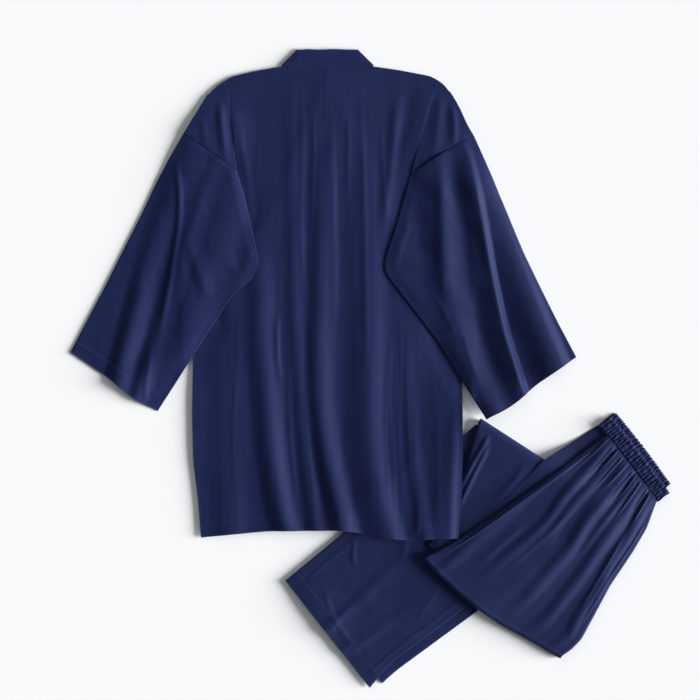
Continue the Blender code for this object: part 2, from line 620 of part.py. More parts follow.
def build_top(trousers, material):
    for cover in trousers:
        cover.ramp = TOP_SPREAD
    left = front_plan(13)
    left_outline = in_top(np.concatenate([left[:, 0], left[::-1, -1]]))
    left_front = Cover(left_outline, lambda points: laid_on(points, trousers) + CLOTH, gap=1.6)
    plan = in_top(left)
    add_part("left_front", wall(with_height(plan, laid_on(plan, trousers) + CLOTH / 2), CLOTH), material)
    arm = arm_plan(9)
    left_arm = Cover(arm_outline(arm), lambda points: laid_on(points, trousers) + COLLAR_THICKNESS, 24, 40, 0.9)

    under = trousers + [left_front, left_arm]
    right = flip(left)
    right_front = Cover(in_top(np.concatenate([right[:, 0], right[::-1, -1]])), lambda points: laid_on(points, under) + CLOTH, gap=1.9)
    plan = in_top(right)
    add_part("right_front", wall(with_height(plan, laid_on(plan, under) + CLOTH / 2), CLOTH), material)
    right_arm = Cover(arm_outline(flip(arm)), lambda points: laid_on(points, under) + COLLAR_THICKNESS, 24, 40, 0.9)
    build_collar(under, trousers, material)

    fronts = under + [right_front, right_arm]
    rows, columns = 21, 31
    knots = np.concatenate([np.linspace(0, 0.5, 8), np.linspace(0.5, 1, 14)[1:]])
    plan = patch(line_through(BACK_LEFT_EDGE, rows, knots), line_through(BACK_RIGHT_EDGE, rows, knots),
                 line_through(BACK_TOP_EDGE, columns), line_through(BACK_HEM, columns), rows, columns, 3.0)
    folds = fold_height(plan[..., 1], plan[..., 0], BACK_FOLDS, direction=-1.0)
    rest = laid_on(in_top(plan), fronts)
    back = add_part("back_panel", wall(with_height(in_top(plan), rest + CLOTH / 2 + folds), CLOTH), material)
    outline = BACK_TOP_EDGE + BACK_RIGHT_EDGE[1:] + BACK_HEM[::-1][1:] + BACK_LEFT_EDGE[::-1][1:-1]
    body = Cover(in_top(outline), lambda points: laid_on(points, fronts) + CLOTH, 14, 46, 0.9)
    over = fronts + [body]
    flaps = [build_flap(table, over, material) for table in (LEFT_FLAP_ROWS, RIGHT_FLAP_ROWS)]
    join(back, flaps)
    build_sleeve("left_sleeve", LEFT_SLEEVE_ROWS, LEFT_SLEEVE_FOLDS, over, material)
    build_sleeve("right_sleeve", RIGHT_SLEEVE_ROWS, RIGHT_SLEEVE_FOLDS, over, material)


def main():
    for stale in list(bpy.data.objects):
        bpy.data.objects.remove(stale)
    navy = cloth_material("navy_cotton", (0.024, 0.034, 0.104), 0.72)
    trousers = build_trousers(navy)
    build_top(trousers, navy)


main()
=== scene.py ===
"""Kimono pyjama set laid flat: a wrap top lying on its front, and trousers folded in three."""

import logging
import math
from dataclasses import dataclass
from enum import Enum
from typing import Sequence

import bpy
import numpy as np
from numpy.typing import NDArray
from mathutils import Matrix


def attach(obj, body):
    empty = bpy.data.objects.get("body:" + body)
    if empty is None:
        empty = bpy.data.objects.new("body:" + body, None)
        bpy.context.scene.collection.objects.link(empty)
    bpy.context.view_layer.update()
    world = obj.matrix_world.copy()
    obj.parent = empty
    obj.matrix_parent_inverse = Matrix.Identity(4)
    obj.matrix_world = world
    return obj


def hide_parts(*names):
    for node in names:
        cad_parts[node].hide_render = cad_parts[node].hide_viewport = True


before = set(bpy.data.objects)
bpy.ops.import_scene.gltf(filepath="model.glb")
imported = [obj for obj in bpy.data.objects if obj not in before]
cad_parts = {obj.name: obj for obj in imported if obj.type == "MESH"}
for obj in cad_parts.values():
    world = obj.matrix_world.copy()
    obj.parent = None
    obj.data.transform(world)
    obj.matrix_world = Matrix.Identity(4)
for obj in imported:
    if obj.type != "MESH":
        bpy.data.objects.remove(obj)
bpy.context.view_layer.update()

Grid = NDArray[np.float64]
Track = Sequence[tuple[float, float]]
Rows = Sequence[tuple[tuple[float, float], tuple[float, float]]]
Colour = tuple[float, float, float]
Faces = NDArray[np.int64]
Mesh = tuple[Grid, list[list[int]], Grid]

LOG = logging.getLogger("pyjama_set")
MM = 0.001

# Sizes shared by every piece, in millimetres.
CLOTH = 1.2
SHELL = 0.9
LAYER_GAP = 0.45
TUBE_LIFT = 1.7
TUBE_HEIGHT = TUBE_LIFT + CLOTH
SPREAD = 60.0
TOP_SPREAD = 90.0
TUBE_EDGE_ANGLES = (-65, -35, 0, 35, 65)
PILE_WEAR = 0.25
THREAD_WEAR = 0.3
FOLD_WEAR = 0.8
TOP_ORIGIN = np.array([-66.3, 465.0])
TROUSERS_ORIGIN = np.array([398.95, -154.45])
TROUSERS_AXIS = np.array([-0.793, -0.609])
TROUSERS_ACROSS = np.array([0.609, -0.793])

# Directions out of the turned edges of the knee, the hip and the right arm of the collar.
KNEE_OUTWARD = TROUSERS_AXIS * -0.949 + TROUSERS_ACROSS * -0.316
HIP_OUTWARD = TROUSERS_AXIS * 0.956 + TROUSERS_ACROSS * 0.29
COLLAR_OUTWARD = np.array([0.733, 0.681])


class Held(Enum):
    """How a piece of cloth lies."""

    LAID = "laid"
    FOLDED = "folded"
    GATHERED = "gathered"


@dataclass(frozen=True)
class Fold:
    """A broad raised fold that grows or fades along its track.

    Attributes:
        start: height at the start of the track.
        end: height at its end.
        before: half width on the side of smaller values.
        after: half width on the side of larger values.
        track: (run, crest) points.
    """

    start: float
    end: float
    before: float
    after: float
    track: Track


@dataclass(frozen=True)
class Crease:
    """A narrow ridge, or with a negative height a groove, along any line.

    Attributes:
        height: height at its strongest.
        left: half width on the left of the line.
        right: half width on its right.
        track: points of the line.
        fade_in: share of the line over which it grows.
        fade_out: share over which it dies away.
        sharp: 0 for a round crest, 1 for a pinched one.
    """

    height: float
    left: float
    right: float
    track: Track
    fade_in: float = 0.25
    fade_out: float = 0.35
    sharp: float = 0.3


# Outlines of the top from the middle of the back neck: x to the right, y towards the neck.
BACK_LEFT_EDGE = [(-181, -38), (-190, -52), (-197, -84), (-201, -120), (-206, -200), (-209, -300),
                  (-208.5, -450), (-210, -530), (-208.5, -608), (-200.7, -670), (-196.2, -728.5)]
BACK_RIGHT_EDGE = [(183, -30), (193, -42), (199, -58), (200, -84), (201, -120), (206, -200), (208, -300),
                   (208, -450), (209, -530), (209, -608), (207, -670), (202, -729)]
BACK_TOP_EDGE = [(-181, -38), (-171, -28), (-159, -20.5), (-148, -14), (-110, -5), (-71, 1.6), (0, 1.6),
                 (71, 1.6), (110, -4), (158, -13), (170, -19), (178, -24.5), (183, -30)]
BACK_HEM = [(-196.2, -728), (-92, -718), (25.6, -717), (101.5, -729.9), (122, -732), (202, -729)]
FRONT_SIDE_UPPER = [(-176, -38), (-186, -54), (-195, -84), (-199, -120), (-204, -200), (-207, -300),
                    (-206.8, -385)]
FRONT_SIDE_LOWER = [(-206.8, -388), (-206.5, -450), (-207.5, -530), (-206, -608), (-198.5, -670),
                    (-194, -716)]
FRONT_DIAGONAL = [(-66.9, 1.5), (94.4, -389.8)]
FRONT_WRAP_EDGE = [(125, -390.6), (125, -712)]
COLLAR_NECK_POINT = (-70, 2.2)
COLLAR_NECK_END = (71.5, 2.2)
COLLAR_NECK_TOP = (-44.6, 27.2)
COLLAR_END = (95.0, -389.0)
COLLAR_END_TOP = (125.4, -376.0)
COLLAR_TOP_EDGE = [(-44.6, 27.2), (-30, 28.6), (-12, 27.6), (10, 28.7), (28, 27.8), (46.4, 27.2)]

# The armhole and sleeve on each side: (outer edge, inner edge) of each row, shoulder to cuff.
LEFT_SHOULDER_ROWS = [((-187, -42), (-154, -33)), ((-194.5, -54), (-152, -50)), ((-203, -69), (-149.6, -72)),
                      ((-212, -83), (-146, -105)), ((-218.5, -94.5), (-143.5, -135)),
                      ((-223.8, -102.6), (-140.6, -161.6))]
RIGHT_SHOULDER_ROWS = [((191, -38), (164.5, -26)), ((199.5, -51), (159.5, -47)), ((207, -66), (152.5, -77)),
                       ((213.5, -81), (144.5, -108)), ((219, -93), (136, -138)),
                       ((225.5, -103), (129, -165.5))]
LEFT_SLEEVE_ROWS = [((-224, -103), (-140.3, -162)), ((-247, -143), (-129.4, -193)),
                    ((-264, -175), (-116.5, -250)),
                    ((-275, -198), (-107.5, -294)), ((-281, -211), (-104.6, -311)),
                    ((-288, -226), (-112, -323)),
                    ((-316, -281), (-151, -360)), ((-344, -337), (-182, -407)), ((-372, -390), (-221, -468)),
                    ((-399, -441), (-263, -533))]
RIGHT_SLEEVE_ROWS = [((226, -103.4), (128.8, -166)), ((244, -143), (120, -196)), ((258, -175), (106, -247)),
                     ((267, -198), (88.5, -297)), ((272, -209), (86.8, -314)), ((279, -226), (93.5, -325)),
                     ((304, -286), (130, -372)), ((330, -340), (171, -426)), ((358, -396), (205, -482)),
                     ((386, -448.7), (245.5, -546))]

# Broad folds. The track of a fold in the back runs (y, x); in a sleeve or the trousers, (along, across).
BACK_FOLDS = [
    Fold(0.6, 2.4, 34, 34, [(-430, -158), (-520, -160), (-610, -158), (-731, -150)]),
    Fold(2.4, 6.0, 30, 28, [(-285, -104), (-400, -104), (-500, -96), (-600, -87), (-690, -72), (-731, -58)]),
    Fold(0.8, 2.4, 18, 18, [(-60, -56), (-200, -54), (-400, -50), (-590, -36), (-731, -16)]),
    Fold(1.2, 6.0, 24, 30,
         [(-120, -4), (-300, -10), (-420, -14), (-515, -15), (-600, -3), (-670, 14), (-731, 28)]),
    Fold(1.2, 6.2, 46, 32,
         [(-150, 56), (-300, 64), (-420, 66), (-515, 63), (-600, 66), (-670, 79), (-731, 98)]),
    Fold(0.4, 2.0, 16, 18, [(-405, 119), (-438, 122), (-515, 126), (-610, 134), (-731, 150)]),
    Fold(1.0, 3.4, 62, 15, [(-470, 192), (-600, 192), (-731, 188)]),
]
LEFT_SLEEVE_FOLDS = [
    Fold(2.6, 5.6, 24, 32, [(60, 18), (150, 32), (200, 41), (250, 54), (300, 65), (395, 86)]),
    Fold(2.6, 3.0, 46, 40, [(-40, 112), (60, 122), (200, 136), (300, 150), (395, 112)]),
    Fold(0.8, 3.0, 18, 24, [(-40, 60), (60, 70), (200, 92), (300, 108), (395, 124)]),
]
RIGHT_SLEEVE_FOLDS = [
    Fold(7.0, 12.5, 19, 58, [(50, 10), (150, 14), (250, 20), (320, 24), (395, 27)]),
    Fold(5.4, 10.0, 11, 40, [(30, 22), (100, 36), (150, 50), (200, 64), (250, 76), (300, 88), (395, 99)]),
    Fold(4.0, 6.0, 40, 46, [(-20, 70), (50, 84), (100, 98), (150, 116), (200, 138), (250, 150), (300, 160),
                            (395, 150)]),
]
HIP_FOLDS = [
    Fold(3.2, 1.4, 15, 13,
         [(0, -46), (25, -40), (50, -34), (80, -30), (110, -24), (150, -9), (190, -6), (235, -5)]),
    Fold(3.4, 1.6, 19, 14, [(0, 4), (25, 9), (50, 15), (80, 21), (110, 29), (150, 48), (190, 55), (250, 66)]),
    Fold(3.4, 1.6, 18, 14,
         [(0, 38), (25, 45), (50, 57), (80, 63), (110, 72), (150, 86), (190, 97), (240, 110)]),
    Fold(3.0, 1.4, 16, 12,
         [(0, 60), (25, 68), (50, 81), (80, 93), (110, 100), (150, 123), (190, 132), (230, 150)]),
    Fold(2.6, 1.0, 13, 14, [(0, -24), (60, -13), (120, -6), (165, 12)]),
    Fold(2.2, 0.4, 8, 10, [(0, -10), (40, -2), (85, 6)]),
    Fold(2.4, 0.4, 8, 9, [(0, 22), (40, 34), (80, 43), (130, 58)]),
    Fold(1.8, 1.4, 14, 16, [(20, -66), (100, -68), (200, -60), (300, -52)]),
]
HEM_FOLDS = [
    Fold(0.6, 2.0, 14, 18, [(352, -104), (390, -98), (440, -92), (525, -86)]),
    Fold(0.4, 1.6, 16, 16, [(372, -30), (430, -34), (525, -44)]),
]

# Outlines of the trousers from the middle of the waist seam: along the legs, across to the crotch side.
HIP_OUTER_EDGE = [(-3.6, -60), (40, -60), (122, -63), (200, -67), (266, -71), (332, -80)]
HIP_CROTCH_EDGE = [(-3.6, 69), (5, 74), (34, 92.5), (75, 109), (133, 128), (182, 150), (220, 167), (243, 170),
                   (258, 169)]
HIP_FOLD_EDGE = [(332, -80), (329, -50), (322, -10), (312, 32), (299, 72), (285, 103), (258, 169)]
UNDER_OUTER_EDGE = [(-3, -79), (50, -83), (97, -88), (160, -79), (225, -70), (262, -70.5), (329, -78)]
KNEE_OUTER_EDGE = [(318, -92), (262, -121), (206, -148), (140, -197)]
KNEE_OUTLINE = [(133, -200), (98, -91), (64, 33), (150, 92), (225, 142), (250, 140), (300, 40), (332, -76),
                (206, -150)]
UPPER_LEG_OUTER = [(146, -196), (250, -191), (409, -188), (528, -184)]
UPPER_LEG_INNER = [(88, 22), (326, 20), (470, 17), (496, 21), (525.5, 28)]
LOWER_LEG_OUTER = [(150, -192), (250, -187), (409, -184), (511, -180)]
LOWER_LEG_INNER = [(90, 35), (317, 35.5), (480, 32), (506, 34.5)]


# Shapes

def smooth(share: Grid | float) -> Grid:
    """Eases a share from 0 to 1, flat at both ends."""
    share = np.clip(share, 0, 1)
    return share * share * (3 - 2 * share)


def bell(distance: Grid, width: float) -> Grid:
    """Gives 1 at no distance, dying away like a bell."""
    return np.exp(-(distance / width) ** 2)


def size_of(vectors: Grid) -> Grid:
    """Gives the length of each vector."""
    return np.linalg.norm(vectors, axis=-1)


def unit(vectors: Grid) -> Grid:
    """Brings vectors to length 1."""
    return vectors / np.maximum(size_of(vectors)[..., None], 1e-9)


def run_of(chain: Grid) -> Grid:
    """Gives the length of a chain up to each of its points."""
    return np.concatenate([[0.0], np.cumsum(size_of(np.diff(chain, axis=0)))])


def read_at(at: Grid, begun: Grid, table: Grid) -> Grid:
    """Reads the rows of a table at places between them."""
    return np.stack([np.interp(at, begun, column) for column in table.T], axis=-1)


def line_through(points: Track, count: int) -> Grid:
    """Places points evenly along a chain of straight lines.

    Args:
        points: corners of the chain.
        count: how many points.

    Returns:
        The points, one a row.
    """
    chain = np.array(points, float)
    begun = run_of(chain)
    return read_at(np.linspace(0, begun[-1], count), begun, chain)


def end_fade(count: int, size: float) -> Grid:
    """Fades a row of places to 0 at both ends."""
    return smooth(np.minimum(np.arange(count), np.arange(count)[::-1]) / size)


def hem_relief(sewn: Grid, groove: float, step: float, width: float = 1.6) -> Grid:
    """Sinks the sewn line of a hem and raises the doubled cloth beyond it.

    Args:
        sewn: distance from the sewn line, negative in the hem.
        groove: depth of the line.
        step: rise of the hem.
        width: half width of the line.

    Returns:
        How far each point is raised.
    """
    return step * smooth((2.0 - sewn) / 4.0) - groove * bell(sewn, width)


def soften(points: Grid, passes: int) -> Grid:
    """Rounds the corners of a line or of each line of a grid, keeping its ends.

    Args:
        points: points along the first axis.
        passes: how many times neighbours are averaged.

    Returns:
        The rounded points.
    """
    points = points.copy()
    for _ in range(passes):
        points[1:-1] = 0.25 * points[:-2] + 0.5 * points[1:-1] + 0.25 * points[2:]
    return points


def soft_line(points: Track, count: int, passes: int = 8) -> Grid:
    """Places points along a chain whose corners are rounded."""
    return soften(line_through(points, count), passes)


def in_top(points: Grid | Track) -> Grid:
    """Moves points of the top into the shared frame."""
    return np.asarray(points, float) + TOP_ORIGIN


def in_trousers(points: Grid | Track) -> Grid:
    """Turns points of the trousers into the shared frame."""
    points = np.asarray(points, float)
    return TROUSERS_ORIGIN + points[..., :1] * TROUSERS_AXIS + points[..., 1:2] * TROUSERS_ACROSS


def flip(points: Grid) -> Grid:
    """Mirrors points of the top from left to right."""
    return np.array(points, float) * np.array([-1.0, 1.0])


def inside_distance(points: Grid, outline: Grid) -> Grid:
    """Measures how far each point lies inside a closed outline.

    Args:
        points: plan points.
        outline: corners of the outline.

    Returns:
        The distance to the outline, negative outside it.
    """
    flat = points.reshape(-1, 2)
    starts = np.asarray(outline, float)
    nearest = np.full(len(flat), np.inf)
    inside = np.zeros(len(flat), bool)
    for start, end in zip(starts, np.roll(starts, -1, axis=0)):
        along = end - start
        share = np.clip((flat - start) @ along / (along @ along), 0, 1)
        nearest = np.minimum(nearest, size_of(flat - start - share[:, None] * along))
        crosses = (start[1] > flat[:, 1]) != (end[1] > flat[:, 1])
        if start[1] != end[1]:
            at = start[0] + (flat[:, 1] - start[1]) * along[0] / along[1]
            inside ^= crosses & (flat[:, 0] < at)
    return np.where(inside, nearest, -nearest).reshape(points.shape[:-1])


@dataclass
class Layer:
    """A layer already laid, over which the next cloth spreads.

    Attributes:
        outline: its plan outline.
        below: the layers it lies on.
        thickness: its own thickness.
        reach: how far outside it the cloth above stays raised.
        ramp: the distance over which the cloth then comes down.
        gap: room left above it.
    """

    outline: Grid
    below: Sequence["Layer"]
    thickness: float
    reach: float = 12.0
    ramp: float = 34.0
    gap: float = LAYER_GAP

    def height(self, points: Grid) -> Grid:
        """Gives the least height of cloth over this layer at plan points."""
        share = (inside_distance(points, self.outline) + self.reach + self.ramp) / self.ramp
        return (laid_on(points, self.below) + self.thickness + self.gap) * smooth(share)


def laid_on(points: Grid, layers: Sequence[Layer]) -> Grid:
    """Gives the height at which cloth laid over these layers has its underside.

    Args:
        points: plan points.
        layers: what lies there.

    Returns:
        The height at each point.
    """
    height = np.zeros(points.shape[:-1])
    for layer in layers:
        height = np.maximum(height, layer.height(points))
    return height


def even_out(values: Grid, passes: int) -> Grid:
    """Averages a grid of heights with its neighbours.

    Args:
        values: the heights.
        passes: how many times.

    Returns:
        The smoother heights.
    """
    for _ in range(passes):
        values = np.pad(values, 1, mode="edge")
        values = (values[:-2] + 2 * values[1:-1] + values[2:]) / 4
        values = (values[:, :-2] + 2 * values[:, 1:-1] + values[:, 2:]) / 4
    return values


def drape(ground: Grid, passes: int) -> Grid:
    """Carries cloth in easy slopes over the steps of what lies below it.

    Args:
        ground: heights that the cloth has to clear.
        passes: how far it spreads.

    Returns:
        Heights nowhere far below the ground.
    """
    eased = ground
    for _ in range(3):
        eased = np.maximum(ground, even_out(eased, passes))
    return np.maximum(ground - 0.1, even_out(eased, 6))


def eased_track(track: Track, direction: float, at: Grid) -> Grid:
    """Follows a fold's track with its corners rounded.

    Args:
        track: (run, crest) points.
        direction: 1 where the run grows, -1 where it falls.
        at: run values, already turned by the direction.

    Returns:
        The crest at each value.
    """
    chain = np.array(track, float)
    run = chain[:, 0] * direction
    table = np.linspace(run[0], run[-1], 120)
    crest = soften(np.interp(table, run, chain[:, 1])[:, None], 60)[:, 0]
    return np.interp(at, table, crest)


def fold_height(along: Grid, across: Grid, folds: Sequence[Fold], direction: float = 1.0) -> Grid:
    """Sums broad folds over a cloth.

    Args:
        along: run of each point.
        across: position of each point across the run.
        folds: the folds.
        direction: 1 where the run grows, -1 where it falls.

    Returns:
        The height that the folds add.
    """
    total = np.zeros(np.shape(along))
    for fold in folds:
        first, last = fold.track[0][0] * direction, fold.track[-1][0] * direction
        crest = eased_track(fold.track, direction, along * direction)
        share = (along * direction - first) / (last - first)
        ends = smooth((share + 0.12) / 0.24)
        if direction > 0 and last < 390:
            ends = ends * smooth((1.25 - share) / 0.3)
        side = across - crest
        width = np.where(side < 0, fold.before, fold.after)
        ridge = 0.5 * (1 + np.cos(np.pi * np.clip(side / width, -1, 1)))
        total = total + (fold.start + (fold.end - fold.start) * np.clip(share, 0, 1)) * ridge * ends
    return total


def crease_height(points: Grid, creases: Sequence[Crease]) -> Grid:
    """Sums narrow ridges and grooves over a cloth.

    Args:
        points: plan points, in the same coordinates as the creases.
        creases: the creases.

    Returns:
        The height that they add.
    """
    flat = points.reshape(-1, 2)
    total = np.zeros(len(flat))
    for crease in creases:
        line = soft_line(crease.track, 24, 6) if len(crease.track) > 2 else np.array(crease.track, float)
        begun = run_of(line)
        begun /= begun[-1]
        reach = max(crease.left, crease.right)
        close = (flat > line.min(axis=0) - reach) & (flat < line.max(axis=0) + reach)
        near = np.flatnonzero(close.all(axis=1))
        if not len(near):
            continue
        some = flat[near]
        best = np.full(len(some), np.inf)
        side = np.zeros(len(some))
        share = np.zeros(len(some))
        for k in range(len(line) - 1):
            step = line[k + 1] - line[k]
            at = np.clip((some - line[k]) @ step / (step @ step), 0, 1)
            away = some - line[k] - at[:, None] * step
            distance = size_of(away)
            closer = distance < best
            best = np.where(closer, distance, best)
            side = np.where(closer, step[0] * away[:, 1] - step[1] * away[:, 0], side)
            share = np.where(closer, begun[k] + at * (begun[k + 1] - begun[k]), share)
        reach_here = np.where(side > 0, crease.left, crease.right)
        place = np.clip(best / reach_here, 0, 1)
        shape = (1 - crease.sharp) * 0.5 * (1 + np.cos(np.pi * place)) + crease.sharp * (1 - place) ** 2
        ends = smooth(share / max(crease.fade_in, 1e-3)) * smooth((1 - share) / max(crease.fade_out, 1e-3))
        total[near] += crease.height * shape * ends
    return total.reshape(points.shape[:-1])


def ripple(points: Grid, seed: int, size: float, stretch: tuple[float, float] = (1.0, 1.0)) -> Grid:
    """Makes an even, seeded unevenness of cloth.

    Args:
        points: plan points.
        seed: picks the pattern.
        size: the usual length of a wave.
        stretch: how much longer waves are along x and y.

    Returns:
        Values about 0.5, nearly all from 0 to 1.
    """
    chance = np.random.default_rng(seed)
    total = np.zeros(points.shape[:-1])
    waves = 14
    for _ in range(waves):
        angle = chance.uniform(0, np.pi)
        length = size * chance.uniform(0.7, 1.7)
        turn = chance.uniform(0, 2 * np.pi)
        total += np.sin(2 * np.pi * (points[..., 0] * np.cos(angle) / stretch[0]
                                     + points[..., 1] * np.sin(angle) / stretch[1]) / length + turn)
    return np.clip(0.5 + 0.2 * total / np.sqrt(waves / 2), 0, 1)


def with_height(points: Grid, height: Grid | float) -> Grid:
    """Adds heights to plan points."""
    height = np.broadcast_to(np.asarray(height, float), points.shape[:-1])
    return np.concatenate([points, height[..., None]], axis=-1)


def between(first: Grid, second: Grid, columns: int) -> Grid:
    """Fills a grid of plan points between two edge lines."""
    share = np.linspace(0, 1, columns)[None, :, None]
    return first[:, None, :] * (1 - share) + second[:, None, :] * share


def panel(first: Grid, last: Grid, start: Grid, end: Grid, fade: float = 2.0) -> Grid:
    """Fills a panel between its two side edges, keeping its end edges.

    Args:
        first: side edge, one point a row.
        last: the other side edge.
        start: first end edge, one point a column.
        end: the other end edge.
        fade: how soon the bend of the end edges dies away.

    Returns:
        The grid of plan points.
    """
    share = np.linspace(0, 1, len(start))[:, None]
    along = np.linspace(0, 1, len(first))[:, None, None]
    start_bend, end_bend = (edge - (edge[0] * (1 - share) + edge[-1] * share) for edge in (start, end))
    return between(first, last, len(start)) + (1 - along) ** fade * start_bend + along ** fade * end_bend


def rim_of(rows: Grid) -> Grid:
    """Gives the outline of a grid whose rows run from one side edge to the other."""
    return np.concatenate([rows[:, 0], rows[::-1, -1]])


def inset_rows(outer: Grid, inner: Grid, columns: int, inset: float) -> Grid:
    """Places points across each row, closer together near the two edges.

    Args:
        outer: outer edge of each row.
        inner: inner edge of each row.
        columns: points a row.
        inset: how far the first and last keep from the edges.

    Returns:
        The grid of plan points.
    """
    even = np.linspace(0, 1, columns)
    share = 0.35 * (0.5 - 0.5 * np.cos(np.pi * even)) + 0.65 * even
    reach = share * (size_of(inner - outer)[:, None] - 2 * inset) + inset
    return outer[:, None] + unit(inner - outer)[:, None] * reach[..., None]


def evenly_spaced(rows: Rows, count: int) -> tuple[Grid, Grid, Grid]:
    """Spaces the rows of a sleeve or shoulder evenly along it.

    Args:
        rows: (outer edge, inner edge) of each drawn row.
        count: rows wanted.

    Returns:
        Outer edge points, inner edge points, and each row's place among the drawn rows.
    """
    table = np.array(rows, float)
    begun = run_of(table.mean(axis=1))
    drawn = np.arange(len(table))
    at = np.interp(np.linspace(0, begun[-1], count), begun, drawn)
    outer, inner = (soften(read_at(at, drawn, table[:, side]), 10) for side in (0, 1))
    return outer, inner, at


def round_edge(distance: Grid, size: float) -> Grid:
    """How far a surface has dropped near an edge that turns down in a quarter circle."""
    return size * (1 - np.sqrt(np.clip(1 - (1 - np.clip(distance / size, 0, 1)) ** 2, 0, 1)))


@dataclass
class Shell:
    """A thin cloth given by the grid of its middle surface.

    Attributes:
        middle: grid of points.
        thickness: thickness of each row, or one for all.
        closed: whether the columns go round a tube.
        wear: how much each point is rubbed, from 0 to 1.
    """

    middle: Grid
    thickness: Grid | float = SHELL
    closed: bool = False
    wear: Grid | None = None

    def normals(self) -> Grid:
        """Gives the unit normal at each point.

        Returns:
            One normal a point.
        """
        across = (np.roll(self.middle, -1, axis=1) - np.roll(self.middle, 1, axis=1) if self.closed
                  else np.gradient(self.middle, axis=1))
        return unit(np.cross(np.gradient(self.middle, axis=0), across))

    def sides(self) -> tuple[Grid, Grid]:
        """Gives the two faces of the cloth, the upper or outer one first.

        Returns:
            The points of each face.
        """
        rows = self.middle.shape[0]
        half = np.broadcast_to(np.asarray(self.thickness, float).reshape(-1, 1, 1), (rows, 1, 1)) / 2
        normal = self.normals()
        one, other = self.middle + normal * half, self.middle - normal * half
        if self.closed:
            return (one, other) if np.ptp(one[..., 2]) > np.ptp(other[..., 2]) else (other, one)
        return (one, other) if one[..., 2].mean() > other[..., 2].mean() else (other, one)

    def area(self) -> float:
        """Gives the area of the cloth in square metres.

        Returns:
            The area.
        """
        grid = self.middle
        if self.closed:
            grid = np.concatenate([grid, grid[:, :1]], axis=1)
        first = np.cross(grid[1:, :-1] - grid[:-1, :-1], grid[:-1, 1:] - grid[:-1, :-1])
        second = np.cross(grid[1:, :-1] - grid[1:, 1:], grid[:-1, 1:] - grid[1:, 1:])
        return float((size_of(first).sum() + size_of(second).sum()) / 2 * MM * MM)

    def mesh(self) -> Mesh:
        """Closes the cloth into a mesh.

        Returns:
            Its vertices, its faces and the rubbing of each vertex.
        """
        rows, columns = self.middle.shape[:2]
        under = rows * columns
        index = np.arange(under).reshape(rows, columns)
        beside = np.roll(index, -1, axis=1) if self.closed else index[:, 1:]
        here = index if self.closed else index[:, :-1]
        a, b, c, d = here[:-1], here[1:], beside[1:], beside[:-1]
        rims = [(here[0], beside[0]), (beside[-1], here[-1])]
        if not self.closed:
            rims += [(index[1:, 0], index[:-1, 0]), (index[:-1, -1], index[1:, -1])]
        faces = [quads(a, b, c, d), quads(d, c, b, a) + under]
        faces += [quads(one, other, other + under, one + under) for one, other in rims]
        vertices = np.concatenate([side.reshape(-1, 3) for side in self.sides()])
        wear = np.broadcast_to(0.0 if self.wear is None else self.wear, (rows, columns)).ravel()
        return vertices, facing_out(vertices, np.concatenate(faces)).tolist(), np.concatenate([wear, wear])


def quads(*corners: Faces) -> Faces:
    """Joins four arrays of corner numbers into four-sided faces."""
    return np.stack(corners, axis=-1).reshape(-1, 4)


def facing_out(vertices: Grid, faces: Faces) -> Faces:
    """Turns the faces of a closed mesh outwards by the sign of its volume.

    Args:
        vertices: its points.
        faces: its faces.

    Returns:
        The faces.
    """
    a, b, c, d = (vertices[faces[:, k]] for k in range(4))
    volume = np.sum(a * np.cross(b, c)) + np.sum(a * np.cross(c, d))
    return faces[:, ::-1] if volume < 0 else faces


def tube(plan: Grid, layers: Sequence[Layer], lift: Grid, gap: Grid | float = TUBE_LIFT,
         sink: Grid | float = 0.0) -> Grid:
    """Lays a flattened tube on the layers.

    Args:
        plan: plan points of one side of the tube, without its turned edges.
        layers: what it lies on.
        lift: how far the upper side is raised by folds.
        gap: room between the two sides, one a row or for all.
        sink: how far the row goes down into what is below it.

    Returns:
        The middle surface, going once round the tube.
    """
    gap, sink = (np.broadcast_to(np.asarray(values, float), len(plan))[:, None] for values in (gap, sink))
    low = drape(laid_on(plan, layers), 40) + CLOTH / 2 - sink
    high = low + gap + lift
    low = low + 0.25 * lift
    edges = []
    for side, towards in ((-1, -2), (0, 1)):
        outward = unit(plan[:, side] - plan[:, towards])
        row = with_height(plan[:, side], high[:, side])
        edges.append(turn_under(row, outward, low[:, side], TUBE_EDGE_ANGLES).swapaxes(0, 1))
    under, over = with_height(plan, low), with_height(plan, high)
    return np.concatenate([under, edges[0], over[:, ::-1], edges[1][:, ::-1]], axis=1)


def turn_under(row: Grid, outward: Grid, low: Grid, angles: Sequence[float],
               tuck: Sequence[float] = ()) -> Grid:
    """Carries a sheet on from its last row, round a fold and back beneath it.

    Args:
        row: the last row of the sheet.
        outward: plan direction out of the sheet.
        low: height of the cloth under each point.
        angles: where rows go round the fold, in degrees.
        tuck: how far back beneath it rows then go.

    Returns:
        The further rows.
    """
    radius = (row[:, 2] - low) / 2
    rows = []
    for angle in angles:
        turn = math.radians(angle)
        plan = row[:, :2] + outward * (radius * math.cos(turn))[:, None]
        rows.append(with_height(plan, low + radius * (1 + math.sin(turn))))
    for reach in tuck:
        rows.append(with_height(row[:, :2] - outward * reach, low))
    return np.stack(rows)


